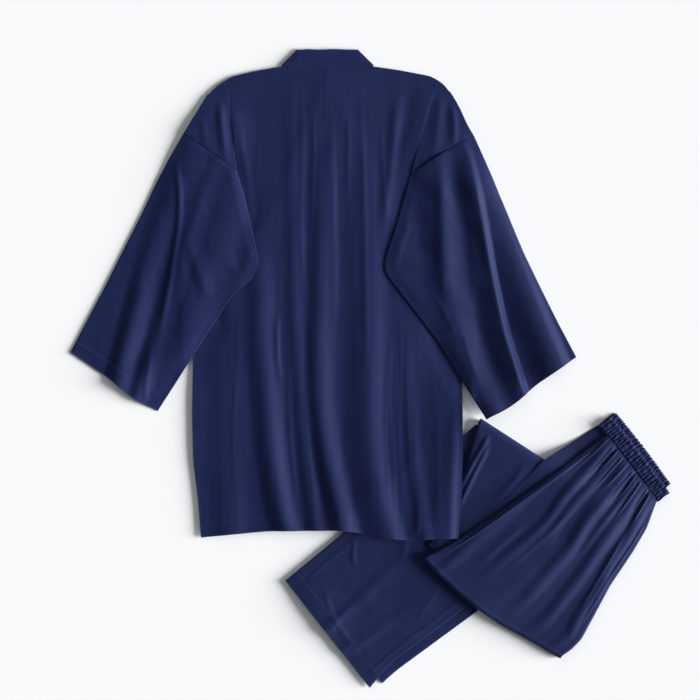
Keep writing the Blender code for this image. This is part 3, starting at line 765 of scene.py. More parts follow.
def pile(lower: Grid, upper: Grid, layers: int = 3) -> Mesh:
    """Makes a pile of hidden cloth whose layers show round its rim.

    Args:
        lower: grid of the underside.
        upper: grid of its top.
        layers: how many layers the rim shows.

    Returns:
        Its vertices, its faces and the rubbing of each vertex.
    """
    rows, columns = lower.shape[:2]
    count = rows * columns
    index = np.arange(count).reshape(rows, columns)
    rim = np.concatenate([index[0, :-1], index[:-1, -1], index[-1, :0:-1], index[:0:-1, 0]])
    low, high = (side.reshape(-1, 3)[rim] for side in (lower, upper))
    along = (np.roll(low, -1, axis=0) - np.roll(low, 1, axis=0))[:, :2]
    out = unit(np.stack([along[:, 1], -along[:, 0]], axis=-1))
    if np.sum(out * (low[:, :2] - low[:, :2].mean(axis=0))) < 0:
        out = -out
    a, b, c, d = index[:-1, :-1], index[1:, :-1], index[1:, 1:], index[:-1, 1:]
    faces = [quads(a, b, c, d), quads(d, c, b, a) + count]
    vertices = [upper.reshape(-1, 3), lower.reshape(-1, 3)]
    rings = [rim]
    base = 2 * count
    steps = layers * 4
    for step in range(1, steps):
        share = step / steps
        ring = high * (1 - share) + low * share
        ring[:, :2] += out * (0.75 * abs(math.sin(math.pi * share * layers)))
        vertices.append(ring)
        rings.append(base + np.arange(len(rim)))
        base += len(rim)
    rings.append(rings[0] + count)
    faces += [quads(first, np.roll(first, -1), np.roll(second, -1), second)
              for first, second in zip(rings, rings[1:])]
    points = np.concatenate(vertices)
    return points, facing_out(points, np.concatenate(faces)).tolist(), np.full(len(points), PILE_WEAR)


def make_piece(name: str, mesh: Mesh, material: bpy.types.Material) -> bpy.types.Object:
    """Makes an object from points in millimetres.

    Args:
        name: name of the piece.
        mesh: its points, its faces and how rubbed each point is.
        material: its finish.

    Returns:
        The piece.
    """
    vertices, faces, wear = mesh
    data = bpy.data.meshes.new(name)
    data.from_pydata((vertices * MM).tolist(), [], faces)
    data.materials.append(material)
    data.attributes.new("rubbed", "FLOAT", "POINT").data.foreach_set("value", wear)
    data.shade_smooth()
    data.set_sharp_from_angle(angle=math.radians(60))
    return linked(name, data)


def linked(name: str, data: bpy.types.ID) -> bpy.types.Object:
    """Puts a mesh, light or camera into the scene as an object.

    Args:
        name: name of the object.
        data: what it shows.

    Returns:
        The object.
    """
    thing = bpy.data.objects.new(name, data)
    bpy.context.scene.collection.objects.link(thing)
    return thing


def join_meshes(parts: Sequence[Mesh]) -> Mesh:
    """Puts several meshes into one list of points and faces.

    Args:
        parts: the meshes.

    Returns:
        The joined mesh.
    """
    points, faces, wear = zip(*parts)
    starts = np.cumsum([0] + [len(some) for some in points])
    joined = [(np.asarray(some) + start).tolist() for some, start in zip(faces, starts)]
    return np.concatenate(points), sum(joined, []), np.concatenate(wear)


@dataclass(frozen=True)
class Stitching:
    """A row of machine stitches.

    Attributes:
        pitch: distance from one stitch to the next.
        length: length of thread that shows.
        radius: half the thread's thickness.
    """

    pitch: float = 3.1
    length: float = 2.3
    radius: float = 0.28

    def along(self, line: Grid, up: Grid) -> Mesh:
        """Sews along a line on the cloth.

        Args:
            line: points of the line on the cloth's surface.
            up: direction out of the cloth at each point.

        Returns:
            Vertices, faces and rubbing of the thread.
        """
        begun = run_of(line)
        count = int((begun[-1] - 2) // self.pitch)
        starts = 1 + np.arange(count) * self.pitch
        rings = []
        for share, swell, rise in ((0.0, 0.25, -0.9), (0.22, 1.0, 0.0), (0.5, 1.15, 0.25), (0.78, 1.0, 0.0),
                                   (1.0, 0.25, -0.9)):
            place = starts + share * self.length
            out = unit(read_at(place, begun, up))
            side = unit(np.cross(read_at(place + 0.4, begun, line) - read_at(place - 0.4, begun, line), out))
            centre = read_at(place, begun, line) + out * (self.radius * (0.35 + rise))
            for turn in np.linspace(0, 2 * np.pi, 6, endpoint=False):
                rings.append(centre + self.radius * swell * (np.cos(turn) * side + np.sin(turn) * out))
        vertices = np.stack(rings, axis=1).reshape(-1, 3)
        faces = [(ring * 6 + k, ring * 6 + m, (ring + 1) * 6 + m, (ring + 1) * 6 + k)
                 for ring in range(4) for k, m in zip(range(6), (1, 2, 3, 4, 5, 0))]
        faces += [(3, 2, 1, 0), (5, 4, 3, 0), (24, 25, 26, 27), (24, 27, 28, 29)]
        every = (np.array(faces)[None] + 30 * np.arange(count)[:, None, None]).reshape(-1, 4)
        return vertices, every.tolist(), np.full(len(vertices), THREAD_WEAR)


# Finishes

def fill(tree: bpy.types.NodeTree, node: bpy.types.Node, inputs: dict[str | int, object]) -> None:
    """Fills inputs of a node.

    Args:
        tree: the tree it is in.
        node: the node.
        inputs: a socket to link, or a constant, for each input.
    """
    for label, value in inputs.items():
        if isinstance(value, bpy.types.NodeSocket):
            tree.links.new(value, node.inputs[label])
        else:
            node.inputs[label].default_value = value


def add_node(tree: bpy.types.NodeTree, kind: str, inputs: dict[str | int, object], **settings: object
             ) -> bpy.types.bpy_prop_collection:
    """Adds a shader node.

    Args:
        tree: where it goes.
        kind: its type, without the leading ShaderNode.
        inputs: a socket to link, or a constant, for each input.
        settings: its own properties.

    Returns:
        Its outputs.
    """
    node = tree.nodes.new("ShaderNode" + kind)
    for label, value in settings.items():
        setattr(node, label, value)
    fill(tree, node, inputs)
    return node.outputs


def math_node(tree: bpy.types.NodeTree, kind: str, *values: object) -> bpy.types.NodeSocket:
    """Adds a Math node on sockets or numbers and gives its output."""
    return add_node(tree, "Math", dict(enumerate(values)), operation=kind)[0]


def mix_colours(tree: bpy.types.NodeTree, share: bpy.types.NodeSocket, first: object, second: Colour
                ) -> bpy.types.NodeSocket:
    """Mixes two colours.

    Args:
        tree: where the node goes.
        share: how much of the second shows.
        first: a colour or a colour socket.
        second: a colour.

    Returns:
        The mixed colour's socket.
    """
    first = (*first, 1.0) if isinstance(first, tuple) else first
    return add_node(tree, "Mix", {0: share, 6: first, 7: (*second, 1.0)}, data_type="RGBA")[2]


def new_group(name: str, inputs: dict[str, float], outputs: Sequence[str]
              ) -> tuple[bpy.types.NodeTree, bpy.types.bpy_prop_collection, bpy.types.Node]:
    """Starts a node group that reads a place and numbers.

    Args:
        name: name of the group.
        inputs: default of each number.
        outputs: names of the numbers it gives.

    Returns:
        The group, the sockets of its inputs and its output node.
    """
    group = bpy.data.node_groups.new(name, "ShaderNodeTree")
    group.interface.new_socket(name="Place", in_out="INPUT", socket_type="NodeSocketVector")
    for label, default in inputs.items():
        socket = group.interface.new_socket(name=label, in_out="INPUT", socket_type="NodeSocketFloat")
        socket.default_value = default
    for label in outputs:
        group.interface.new_socket(name=label, in_out="OUTPUT", socket_type="NodeSocketFloat")
    return group, group.nodes.new("NodeGroupInput").outputs, group.nodes.new("NodeGroupOutput")


def plain_weave_group() -> bpy.types.NodeTree:
    """Builds the group that gives the threads of a plain weave and its uneven slubs.

    Returns:
        The group.
    """
    scales = {"Thread Scale": 400.0, "Slub Length": 9.0, "Slub Width": 420.0}
    group, given, end = new_group("plain_weave", scales, ("Height", "Slub", "Cloud"))
    place = given["Place"]
    waves = [add_node(group, "TexWave",
                      {"Distortion": 0.6, "Detail": 1.0, "Vector": place, "Scale": given["Thread Scale"]},
                      wave_type="BANDS", bands_direction=direction, wave_profile="SIN")["Fac"]
             for direction in ("X", "Y")]
    scale = add_node(group, "CombineXYZ", {"X": given["Slub Width"], "Y": given["Slub Length"]})["Vector"]
    stretched = add_node(group, "VectorMath", {0: place, 1: scale}, operation="MULTIPLY")["Vector"]
    slub = add_node(group, "TexNoise", {"Scale": 1.0, "Detail": 2.0, "Vector": stretched})["Fac"]
    cloud = add_node(group, "TexNoise", {"Scale": 22.0, "Detail": 3.0, "Vector": place})["Fac"]
    height = math_node(group, "MULTIPLY_ADD", slub, 1.6, math_node(group, "MULTIPLY", *waves))
    fill(group, end, {"Height": height, "Slub": slub, "Cloud": cloud})
    return group


def rubbed_group() -> bpy.types.NodeTree:
    """Builds the group that spreads wear unevenly along folds, hems and seams.

    Returns:
        The group.
    """
    group, given, end = new_group("rubbed_edges", {"Rubbed": 0.0, "Amount": 0.5}, ("Wear",))
    patchy = add_node(group, "TexNoise", {"Scale": 140.0, "Detail": 4.0, "Vector": given["Place"]})["Fac"]
    wear = math_node(group, "MULTIPLY", given["Rubbed"], math_node(group, "MULTIPLY_ADD", patchy, 1.2, 0.1))
    fill(group, end, {"Wear": add_node(group, "Math", {0: wear, 1: given["Amount"]}, operation="MULTIPLY",
                                       use_clamp=True)[0]})
    return group


def new_material(name: str) -> tuple[bpy.types.Material, bpy.types.NodeTree, bpy.types.Node]:
    """Starts a material and gives it, its tree and its shader.

    Args:
        name: its name.

    Returns:
        The material, its tree and its shader.
    """
    material = bpy.data.materials.new(name)
    material.use_nodes = True
    return material, material.node_tree, material.node_tree.nodes["Principled BSDF"]


@dataclass(frozen=True)
class NavyCotton:
    """The navy cotton of the whole set.

    Attributes:
        name: name of the material.
        grain: angle of the warp from the frame's y, in degrees.
        deep: darker end of its uneven tone, where slubs and clouds are low.
        bright: lighter end of that tone, where slubs and clouds are high.
        faded: colour where it is rubbed.
        roughness: usual roughness.
        thread_scale: how fine the threads are.
        relief: depth of the weave in the bump.
    """

    name: str
    grain: float
    deep: Colour = (0.0061, 0.0110, 0.052)
    bright: Colour = (0.0100, 0.0173, 0.077)
    faded: Colour = (0.021, 0.032, 0.112)
    roughness: float = 0.56
    thread_scale: float = 400.0
    relief: float = 0.00012

    def build(self, weave: bpy.types.NodeTree, rubbed: bpy.types.NodeTree) -> bpy.types.Material:
        """Builds the material.

        Args:
            weave: the plain weave group.
            rubbed: the rubbed edges group.

        Returns:
            The material.
        """
        material, tree, shader = new_material(self.name)
        place = add_node(tree, "Mapping", {"Vector": add_node(tree, "TexCoord", {})["Object"],
                                           "Rotation": (0.0, 0.0, math.radians(self.grain))})["Vector"]
        given = {"Place": place, "Thread Scale": self.thread_scale}
        threads = add_node(tree, "Group", given, node_tree=weave)
        mask = add_node(tree, "Attribute", {}, attribute_name="rubbed")["Fac"]
        given = {"Place": place, "Rubbed": mask, "Amount": 0.55}
        worn = add_node(tree, "Group", given, node_tree=rubbed)["Wear"]
        clouds = math_node(tree, "MULTIPLY", threads["Cloud"], 0.45)
        shade = math_node(tree, "MULTIPLY_ADD", threads["Slub"], 0.7, clouds)
        dyed = mix_colours(tree, shade, self.deep, self.bright)
        rough = math_node(tree, "MULTIPLY_ADD", worn, 0.18, self.roughness - 0.08)
        bump = add_node(tree, "Bump", {"Strength": 0.7, "Distance": self.relief, "Height": threads["Height"]})
        fill(tree, shader, {
            "Base Color": mix_colours(tree, worn, dyed, self.faded),
            "Roughness": math_node(tree, "MULTIPLY_ADD", threads["Cloud"], 0.16, rough),
            "Normal": bump["Normal"],
            "Specular IOR Level": 0.12,
            "Sheen Weight": 0.05,
            "Sheen Roughness": 0.42,
            "Sheen Tint": (0.35, 0.45, 0.9, 1.0),
        })
        return material


@dataclass(frozen=True)
class NavyThread:
    """The sewing thread, a shade lighter and glossier than the cotton."""

    name: str = "navy_thread"
    base: Colour = (0.009, 0.015, 0.06)
    shine: Colour = (0.013, 0.021, 0.078)

    def build(self) -> bpy.types.Material:
        """Builds the material, twisted like plied thread.

        Returns:
            The material.
        """
        material, tree, shader = new_material(self.name)
        twist = add_node(tree, "TexWave", {"Scale": 700.0, "Distortion": 1.0,
                                           "Vector": add_node(tree, "TexCoord", {})["Object"]},
                         bands_direction="DIAGONAL")["Fac"]
        bump = add_node(tree, "Bump", {"Distance": 0.0001, "Height": twist})
        fill(tree, shader, {"Base Color": mix_colours(tree, twist, self.base, self.shine),
                            "Roughness": math_node(tree, "MULTIPLY_ADD", twist, 0.2, 0.4),
                            "Normal": bump["Normal"]})
        return material


@dataclass(frozen=True)
class Cut:
    """What a piece stands for, and the cloth it is cut from.

    Attributes:
        node: the CAD node that it replaces.
        flat: width and length of the cut, in metres; not used.
        held: how it lies; not used.
        rests_on: names of what it lies on; not used.
    """

    node: str
    flat: tuple[float, float]
    held: Held
    rests_on: tuple[str, ...]


def lay(piece: bpy.types.Object, cut: Cut, stitches: Sequence[bpy.types.Object] = ()) -> None:
    """Parents a cloth piece and its stitches to the root and hides the CAD part that it replaces.

    Args:
        piece: the cloth.
        cut: its cut.
        stitches: thread sewn on it.
    """
    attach(piece, "root")
    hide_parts(cut.node)
    for thread in stitches:
        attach(thread, "root")


def lay_shell(name: str, shell: Shell, material: bpy.types.Material, cut: Cut,
              stitches: Sequence[bpy.types.Object] = ()) -> None:
    """Makes a piece of one shell, parents it to the root and hides the CAD part that it replaces."""
    lay(make_piece(name, shell.mesh(), material), cut, stitches)


@dataclass
class Cloths:
    """The finishes, one for each direction of the weave, with the body's and the left sleeve's navy painted a
    little lighter to stand in for the light on them.
    """

    body: bpy.types.Material
    left_sleeve: bpy.types.Material
    right_sleeve: bpy.types.Material
    trousers: bpy.types.Material
    thread: bpy.types.Material

    @classmethod
    def build(cls) -> "Cloths":
        """Builds every finish.

        Returns:
            The finishes.
        """
        groups = plain_weave_group(), rubbed_group()
        # Painted light: all one cloth, but the body's navy is about 10% and the left sleeve's about 7%
        # lighter than the right sleeve's, the trousers' nearly the same.
        body = NavyCotton("navy_cotton_body_painted_lighter", 0.0, (0.0067, 0.0119, 0.056), (0.0110, 0.0188, 0.083))
        left = NavyCotton("navy_cotton_left_sleeve_painted_lighter", 30.0, (0.0065, 0.0116, 0.055), (0.0107, 0.0184, 0.082))
        right = NavyCotton("navy_cotton_right_sleeve", -27.0)
        trousers = NavyCotton("navy_cotton_trousers", 52.5, (0.0062, 0.0112, 0.051), (0.0101, 0.0176, 0.076))
        return cls(*(cotton.build(*groups) for cotton in (body, left, right, trousers)), NavyThread().build())


# Trousers

@dataclass
class Trousers:
    """Elastic-waisted trousers folded in three over their legs.

    Attributes:
        cloths: the finishes.
        pile_height: thickness of the hidden layers.
        fold_depth: how much deeper the folds are than in the solids.
        hem_width: depth of the leg hems.
        band_length: length of the gathered waistband.
        puckers: puckers along it.
        mouth_start: where along the leg its hem begins to gape.
        mouth_length: length over which it opens.
        stitched: the two sewn lines of the waistband.
    """

    cloths: Cloths
    pile_height: float = 3.6
    fold_depth: float = 1.5
    hem_width: float = 24.0
    band_length: float = 139.0
    puckers: int = 27
    mouth_start: float = 455.0
    mouth_length: float = 65.0
    stitched: tuple[float, float] = (-18.6, -9.6)

    def leg(self, name: str, outer: Track, inner: Track, layers: Sequence[Layer], mouth: float,
            shape: tuple[int, int], cut: Cut) -> None:
        """Builds a lower leg, from near the upper fold to its open hem.

        Args:
            name: name of the piece.
            outer: its outseam edge.
            inner: its inseam edge.
            layers: what it lies on.
            mouth: how far the hem gapes.
            shape: rows and columns of its grid.
            cut: its cut.
        """
        rows, columns = shape
        plan = inset_rows(soft_line(outer, rows), soft_line(inner, rows), columns, TUBE_HEIGHT / 2)
        share = np.linspace(0, 1, columns)[None, :]
        along, across = plan[..., 0], plan[..., 1]
        open_at = smooth((along - self.mouth_start) / self.mouth_length)
        open_at = open_at * np.sin(np.pi * np.clip((share - 0.04) / 0.72, 0, 1)) ** 2
        creases = fold_height(along, across, HEM_FOLDS) * np.sin(np.pi * share) * min(mouth, 1.0)
        fine = crease_height(plan, LEG_CREASES) * min(mouth, 1.0)
        uneven = 0.9 * ripple(plan, 11, 70.0) + 0.35 * ripple(plan, 12, 22.0)
        end = plan[-1:, :, 0]
        sewn = end - along - self.hem_width
        pucker = 0.35 * ripple(plan, 13, 9.0, (2.2, 1.0)) * bell(sewn, 9.0)
        edge = np.sin(np.pi * share) ** 0.5
        fine = fine + uneven + hem_relief(sewn, 0.5, 0.35) + pucker
        lift = np.maximum(mouth * open_at + creases + fine * edge, -0.45)
        lay_tube(name, tube(in_trousers(plan), layers, lift), (bell(end - along, 2.0), FOLD_WEAR), sewn,
                 (self.cloths.trousers, self.cloths.thread), cut)

    def build_legs(self) -> list[Layer]:
        """Builds both lower legs and gives what they raise.

        Returns:
            The lower and the upper leg's layers.
        """
        lower = Layer(in_trousers(LOWER_LEG_OUTER + LOWER_LEG_INNER[::-1]), [], TUBE_HEIGHT, 10, SPREAD)
        self.leg("right_leg_lower", LOWER_LEG_OUTER, LOWER_LEG_INNER, [], 0.0, (90, 60),
                 Cut("right_leg_hem", (0.424, 0.362), Held.FOLDED, ("floor",)))
        upper = Layer(in_trousers(UPPER_LEG_OUTER + UPPER_LEG_INNER[::-1]), [lower], TUBE_HEIGHT, 10, SPREAD)
        self.leg("left_leg_lower", UPPER_LEG_OUTER, UPPER_LEG_INNER, [lower], 3.6, (126, 84),
                 Cut("left_leg_hem", (0.424, 0.38), Held.FOLDED, ("right_leg_lower",)))
        return [lower, upper]

    def build_knee(self, legs: Sequence[Layer]) -> None:
        """Builds the middle stretch, turned down round the upper fold.

        Args:
            legs: layers of the lower legs.
        """
        rows, columns = 90, 80
        hidden = line_through([(300, -34), (82, -34)], rows)
        local = between(soft_line(KNEE_OUTER_EDGE, rows, 4), hidden, columns)
        plan = in_trousers(local)
        ground = laid_on(plan, legs) + self.pile_height + LAYER_GAP + CLOTH / 2
        side = size_of(local - local[:, :1])
        relief = (crease_height(local, KNEE_CREASES) + 0.5 * ripple(local, 21, 50.0)) * smooth(side / 8)
        relief = relief * smooth((np.arange(rows)[::-1][:, None]) / 6)
        sheet = with_height(plan, ground + relief - round_edge(side, 1.6))
        low = np.full(columns, CLOTH / 2)
        angles = (75, 55, 35, 15, 0, -15, -35, -55, -75, -90)
        turned = turn_under(sheet[-1], KNEE_OUTWARD, low, angles)
        middle = np.concatenate([sheet, turned])
        wear = np.zeros(middle.shape[:2])
        wear[rows - 2:rows + 6] = FOLD_WEAR
        wear[:, :2] = 0.7
        shell = Shell(middle, wear=wear)
        cut = Cut("right_leg", (0.19, 0.29), Held.FOLDED, ("hidden_layers",))
        lay_shell("knee_stretch", shell, self.cloths.trousers, cut)

    def build_hip(self, legs: Sequence[Layer], knee: Layer) -> None:
        """Builds the hip stretch, gathered at the waist and turned under at the lower fold.

        Args:
            legs: layers of the lower legs.
            knee: layer of the middle stretch.
        """
        rows, columns = 120, 160
        local = panel(soft_line(HIP_OUTER_EDGE, rows), soft_line(HIP_CROTCH_EDGE, rows),
                      line_through([HIP_OUTER_EDGE[0], HIP_CROTCH_EDGE[0]], columns),
                      soft_line(HIP_FOLD_EDGE, columns))
        local[0, :, 0] -= 1.6
        plan = in_trousers(local)
        ground = drape(laid_on(plan, [*legs, knee]), 60)
        last = size_of(local - local[:, -1:])
        near = np.minimum(size_of(local - local[:, :1]), last)
        folds = self.fold_depth * fold_height(local[..., 0], local[..., 1], HIP_FOLDS)
        fine = crease_height(local, HIP_CREASES) + 0.55 * ripple(local, 31, 60.0)
        fine += 0.25 * ripple(local, 32, 16.0, (3.0, 1.0))
        relief = (folds + fine) * (0.3 + 0.7 * smooth(near / 7))
        height = ground + self.pile_height + LAYER_GAP + CLOTH / 2 + 1.35 + relief
        fade = smooth((rows - 1 - np.arange(rows)[:, None]) / 8)
        sheet = with_height(plan, height - round_edge(near, 2.4) * fade)
        low = laid_on(sheet[-1, :, :2] + HIP_OUTWARD * 5, legs) + CLOTH / 2
        turned = turn_under(sheet[-1], HIP_OUTWARD, low, range(75, -91, -15), (4.0, 7.0))
        middle = np.concatenate([sheet, turned])
        wear = np.zeros(middle.shape[:2])
        wear[:rows] = bell(near, 2.5) * 0.8
        wear[rows - 2:rows + 8] = 0.9
        wear[:rows] += 0.5 * np.clip((folds - 1.6) / 1.5, 0, 1)
        shell = Shell(middle, wear=np.clip(wear, 0, 1))
        sewn_column = int(np.argmin(np.abs(last[60] - 9.0)))
        seam = sew("crotch_seam_stitches", shell, range(4, 96), [sewn_column], self.cloths.thread)
        cut = Cut("left_leg", (0.26, 0.36), Held.GATHERED, ("hidden_layers", "knee_stretch"))
        lay_shell("hip_stretch", shell, self.cloths.trousers, cut, [seam])

    def build_hidden_layers(self, legs: Sequence[Layer], knee: Layer) -> None:
        """Builds the pile of cloth inside the folds, its layers showing at the rim.

        Args:
            legs: layers of the lower legs.
            knee: layer of the middle stretch.
        """
        size = 40
        middle = in_trousers(panel(line_through([(300, -92), (206, -141), (149, -189)], size),
                                   line_through([(243, 136), (150, 84), (80, 24)], size),
                                   line_through([(300, -92), (296, -30), (280, 40), (243, 136)], size),
                                   line_through([(149, -189), (110, -78), (80, 24)], size)))
        low = laid_on(middle, legs)
        first = pile(with_height(middle, low), with_height(middle, low + self.pile_height))
        rows, columns = 60, 40
        outer = line_through(UNDER_OUTER_EDGE, rows)
        skin = line_through(HIP_OUTER_EDGE, rows)
        crotch = line_through(HIP_CROTCH_EDGE, rows)
        into = unit(crotch - skin)
        full = panel(skin + into * 4.5, crotch - into * 4.0, line_through([(-3.0, -55), (-3.0, 64)], columns),
                     line_through(HIP_FOLD_EDGE, columns))
        full[-1] -= np.array([3.5, 0.8])
        step = skin + into
        outer = np.stack([outer[:, 0], np.minimum(outer[:, 1], step[:, 1] - 1.0)], axis=-1)
        strip = between(outer, step, 8)
        local = np.concatenate([strip, full], axis=1)
        plan = in_trousers(local)
        low = laid_on(plan, [*legs, knee])
        top = low + self.pile_height + 0.5
        shown = np.linspace(0, 1, 8)[None, :]
        top[:, :8] = low[:, :8] + 1.5 + 0.7 * np.sin(np.pi * shown) * ripple(local[:, :8], 41, 30.0)
        second = pile(with_height(plan, low), with_height(plan, top))
        piece = make_piece("hidden_layers", join_meshes([first, second]), self.cloths.trousers)
        rests = ("left_leg_lower", "right_leg_lower")
        lay(piece, Cut("trousers_inner_layers", (0.26, 0.52), Held.FOLDED, rests))

    def build_waistband(self) -> None:
        """Builds the waistband lying flat: two tiers, puckered all along by the elastic."""
        stations = self.puckers * 15 + 1
        share = np.linspace(0, 1, stations)
        uneven = 2.2 * np.sin(7 * share) + 1.5 * np.sin(19 * share + 2.0) + 1.0 * np.sin(43 * share + 1.0)
        turn = 2 * np.pi * self.puckers * share + uneven
        bow = 1.6 * np.sin(np.pi * share)
        upper = -77 + 147.5 * share
        lower = -77 + (self.band_length + 4) * share * 0.965
        tail = -80 + (self.band_length + 6) * share * 0.965
        # Each row once round the band: along, height, share of the lower tier, pucker sideways and upwards.
        profile = [(-4.2, 0.0, 0.85, 0.0, 0.0), (-20.0, 0.0, 1, 0.0, 0.0), (-34.0, 0.0, 1, 0.0, 0.0),
                   (-36.4, 0.7, 1, 0.7, 0.1), (-37.0, 1.9, 1, 0.9, 0.2), (-36.2, 3.4, 1, 0.5, 0.6),
                   (-34.4, 4.3, 1, 0.2, 0.9), (-31.0, 4.0, 1, 0.0, 1.0), (-27.4, 4.3, 1, 0.0, 0.9),
                   (-26.6, 4.6, 0, 0.2, 0.5), (-27.2, 6.0, 0, 0.8, 0.4), (-26.4, 7.6, 0, 0.7, 0.8),
                   (-24.4, 8.6, 0, 0.3, 1.1), (-21.4, 8.5, 0, 0.0, 1.2), (-18.6, 8.1, 0, 0.0, 1.0),
                   (-15.8, 8.5, 0, 0.0, 1.2), (-12.6, 8.4, 0, 0.0, 1.2), (-9.6, 8.0, 0, 0.0, 1.0),
                   (-6.8, 8.3, 0, 0.0, 1.1), (-4.6, 7.4, 0, 0.0, 0.8), (-4.2, 5.0, 0, 0.0, 0.3)]
        steps = 3
        sections = []
        table = np.array(profile + profile[:1], float)
        for run, rise, tier, sideways, upwards in read_at(np.arange(len(profile) * steps) / steps,
                                                          np.arange(len(table)), table):
            shift = 0.9 if run < -26.5 and tier > 0.5 else 0.0
            crest = np.abs(np.sin((turn + shift) / 2)) ** 0.8 * 2 - 1.1
            crest *= 0.8 + 0.3 * np.sin(23 * share + run * 0.25) + 0.25 * np.sin(51 * share - run * 0.4)
            across = (tail if rise < 0.1 else lower) * tier + upper * (1 - tier)
            across = across + 0.5 * np.sin(turn * 0.5 + run * 0.35) * min(upwards, 1.0)
            place = in_trousers(np.stack([run - bow - sideways * crest, across], axis=-1))
            sections.append(with_height(place, np.maximum(rise + upwards * crest, 0.0)))
        rings = np.stack(sections, axis=1)
        count = rings.shape[1]
        index = np.arange(stations * count).reshape(stations, count)
        beside = np.roll(index, -1, axis=1)
        faces = quads(index[:-1], index[1:], beside[1:], beside[:-1])
        vertices = rings.reshape(-1, 3)
        caps = [index[0].tolist(), index[-1, ::-1].tolist()]
        outward = facing_out(vertices, faces)
        if outward is not faces:
            caps = [cap[::-1] for cap in caps]
        wear = np.clip((rings[..., 2] - soften(rings[..., 2:3], 40)[..., 0]) / 0.8, 0, 1)
        mesh = (vertices, outward.tolist() + caps, wear.ravel())
        piece = make_piece("gathered_waistband", mesh, self.cloths.trousers)
        rows = []
        for target in self.stitched:
            column = int(np.argmin([abs(target - p[0]) + (9 if p[1] < 7 else 0) for p in profile])) * steps
            line = rings[:, column]
            rows.append(Stitching(2.4, 1.9, 0.24).along(line, np.tile([0.0, 0.0, 1.0], (stations, 1))))
        thread = make_piece("waistband_stitches", join_meshes(rows), self.cloths.thread)
        flat = (self.band_length * 1.5 * MM, 0.07)
        lay(piece, Cut("waistband", flat, Held.GATHERED, ("floor",)), [thread])

    def build(self) -> list[Layer]:
        """Builds the trousers and gives the layers that the top lies on.

        Returns:
            Their layers.
        """
        legs = self.build_legs()
        knee = Layer(in_trousers(KNEE_OUTLINE), legs, self.pile_height + LAYER_GAP + CLOTH, 10, SPREAD, 1.3)
        self.build_hidden_layers(legs, knee)
        self.build_knee(legs)
        self.build_hip(legs, knee)
        self.build_waistband()
        return [*legs, knee]


def sewn_row(sewn: Grid) -> int:
    """Gives the row that lies nearest to the sewn line of a hem."""
    return int(np.argmin(np.abs(sewn[:, sewn.shape[1] // 2])))


def lay_tube(name: str, ring: Grid, wear: tuple[Grid, float], sewn: Grid,
             finishes: tuple[bpy.types.Material, bpy.types.Material], cut: Cut) -> None:
    """Makes a tube, sews its hem and lays it.

    Args:
        name: name of the piece.
        ring: its middle surface.
        wear: rubbing of the points of one side, and of the edges.
        sewn: distance of the same points from the sewn line.
        finishes: of the cloth and of the thread.
        cut: its cut.
    """
    face, rim = wear
    edge = np.full((len(face), len(TUBE_EDGE_ANGLES)), rim)
    shell = Shell(ring, SHELL, True, np.concatenate([face, edge, face[:, ::-1], edge], axis=1))
    around = range(ring.shape[1])
    stitches = sew(name + "_hem_stitches", shell, [sewn_row(sewn)], around, finishes[1], closed=True)
    lay_shell(name, shell, finishes[0], cut, [stitches])


def sew(name: str, shell: Shell, rows: Sequence[int], columns: Sequence[int], thread: bpy.types.Material,
        closed: bool = False) -> bpy.types.Object:
    """Sews a line of stitches along rows or columns of a cloth.

    Args:
        name: name of the stitches.
        shell: the cloth.
        rows: row or rows of its grid.
        columns: column or columns of its grid.
        thread: the finish.
        closed: whether the line goes round a tube.

    Returns:
        The stitches.
    """
    sides = [side[np.ix_(list(rows), list(columns))].reshape(-1, 3) for side in shell.sides()]
    face, back = (np.concatenate([side, side[:1]]) for side in sides) if closed else sides
    return make_piece(name, Stitching().along(face, face - back), thread)


# Top

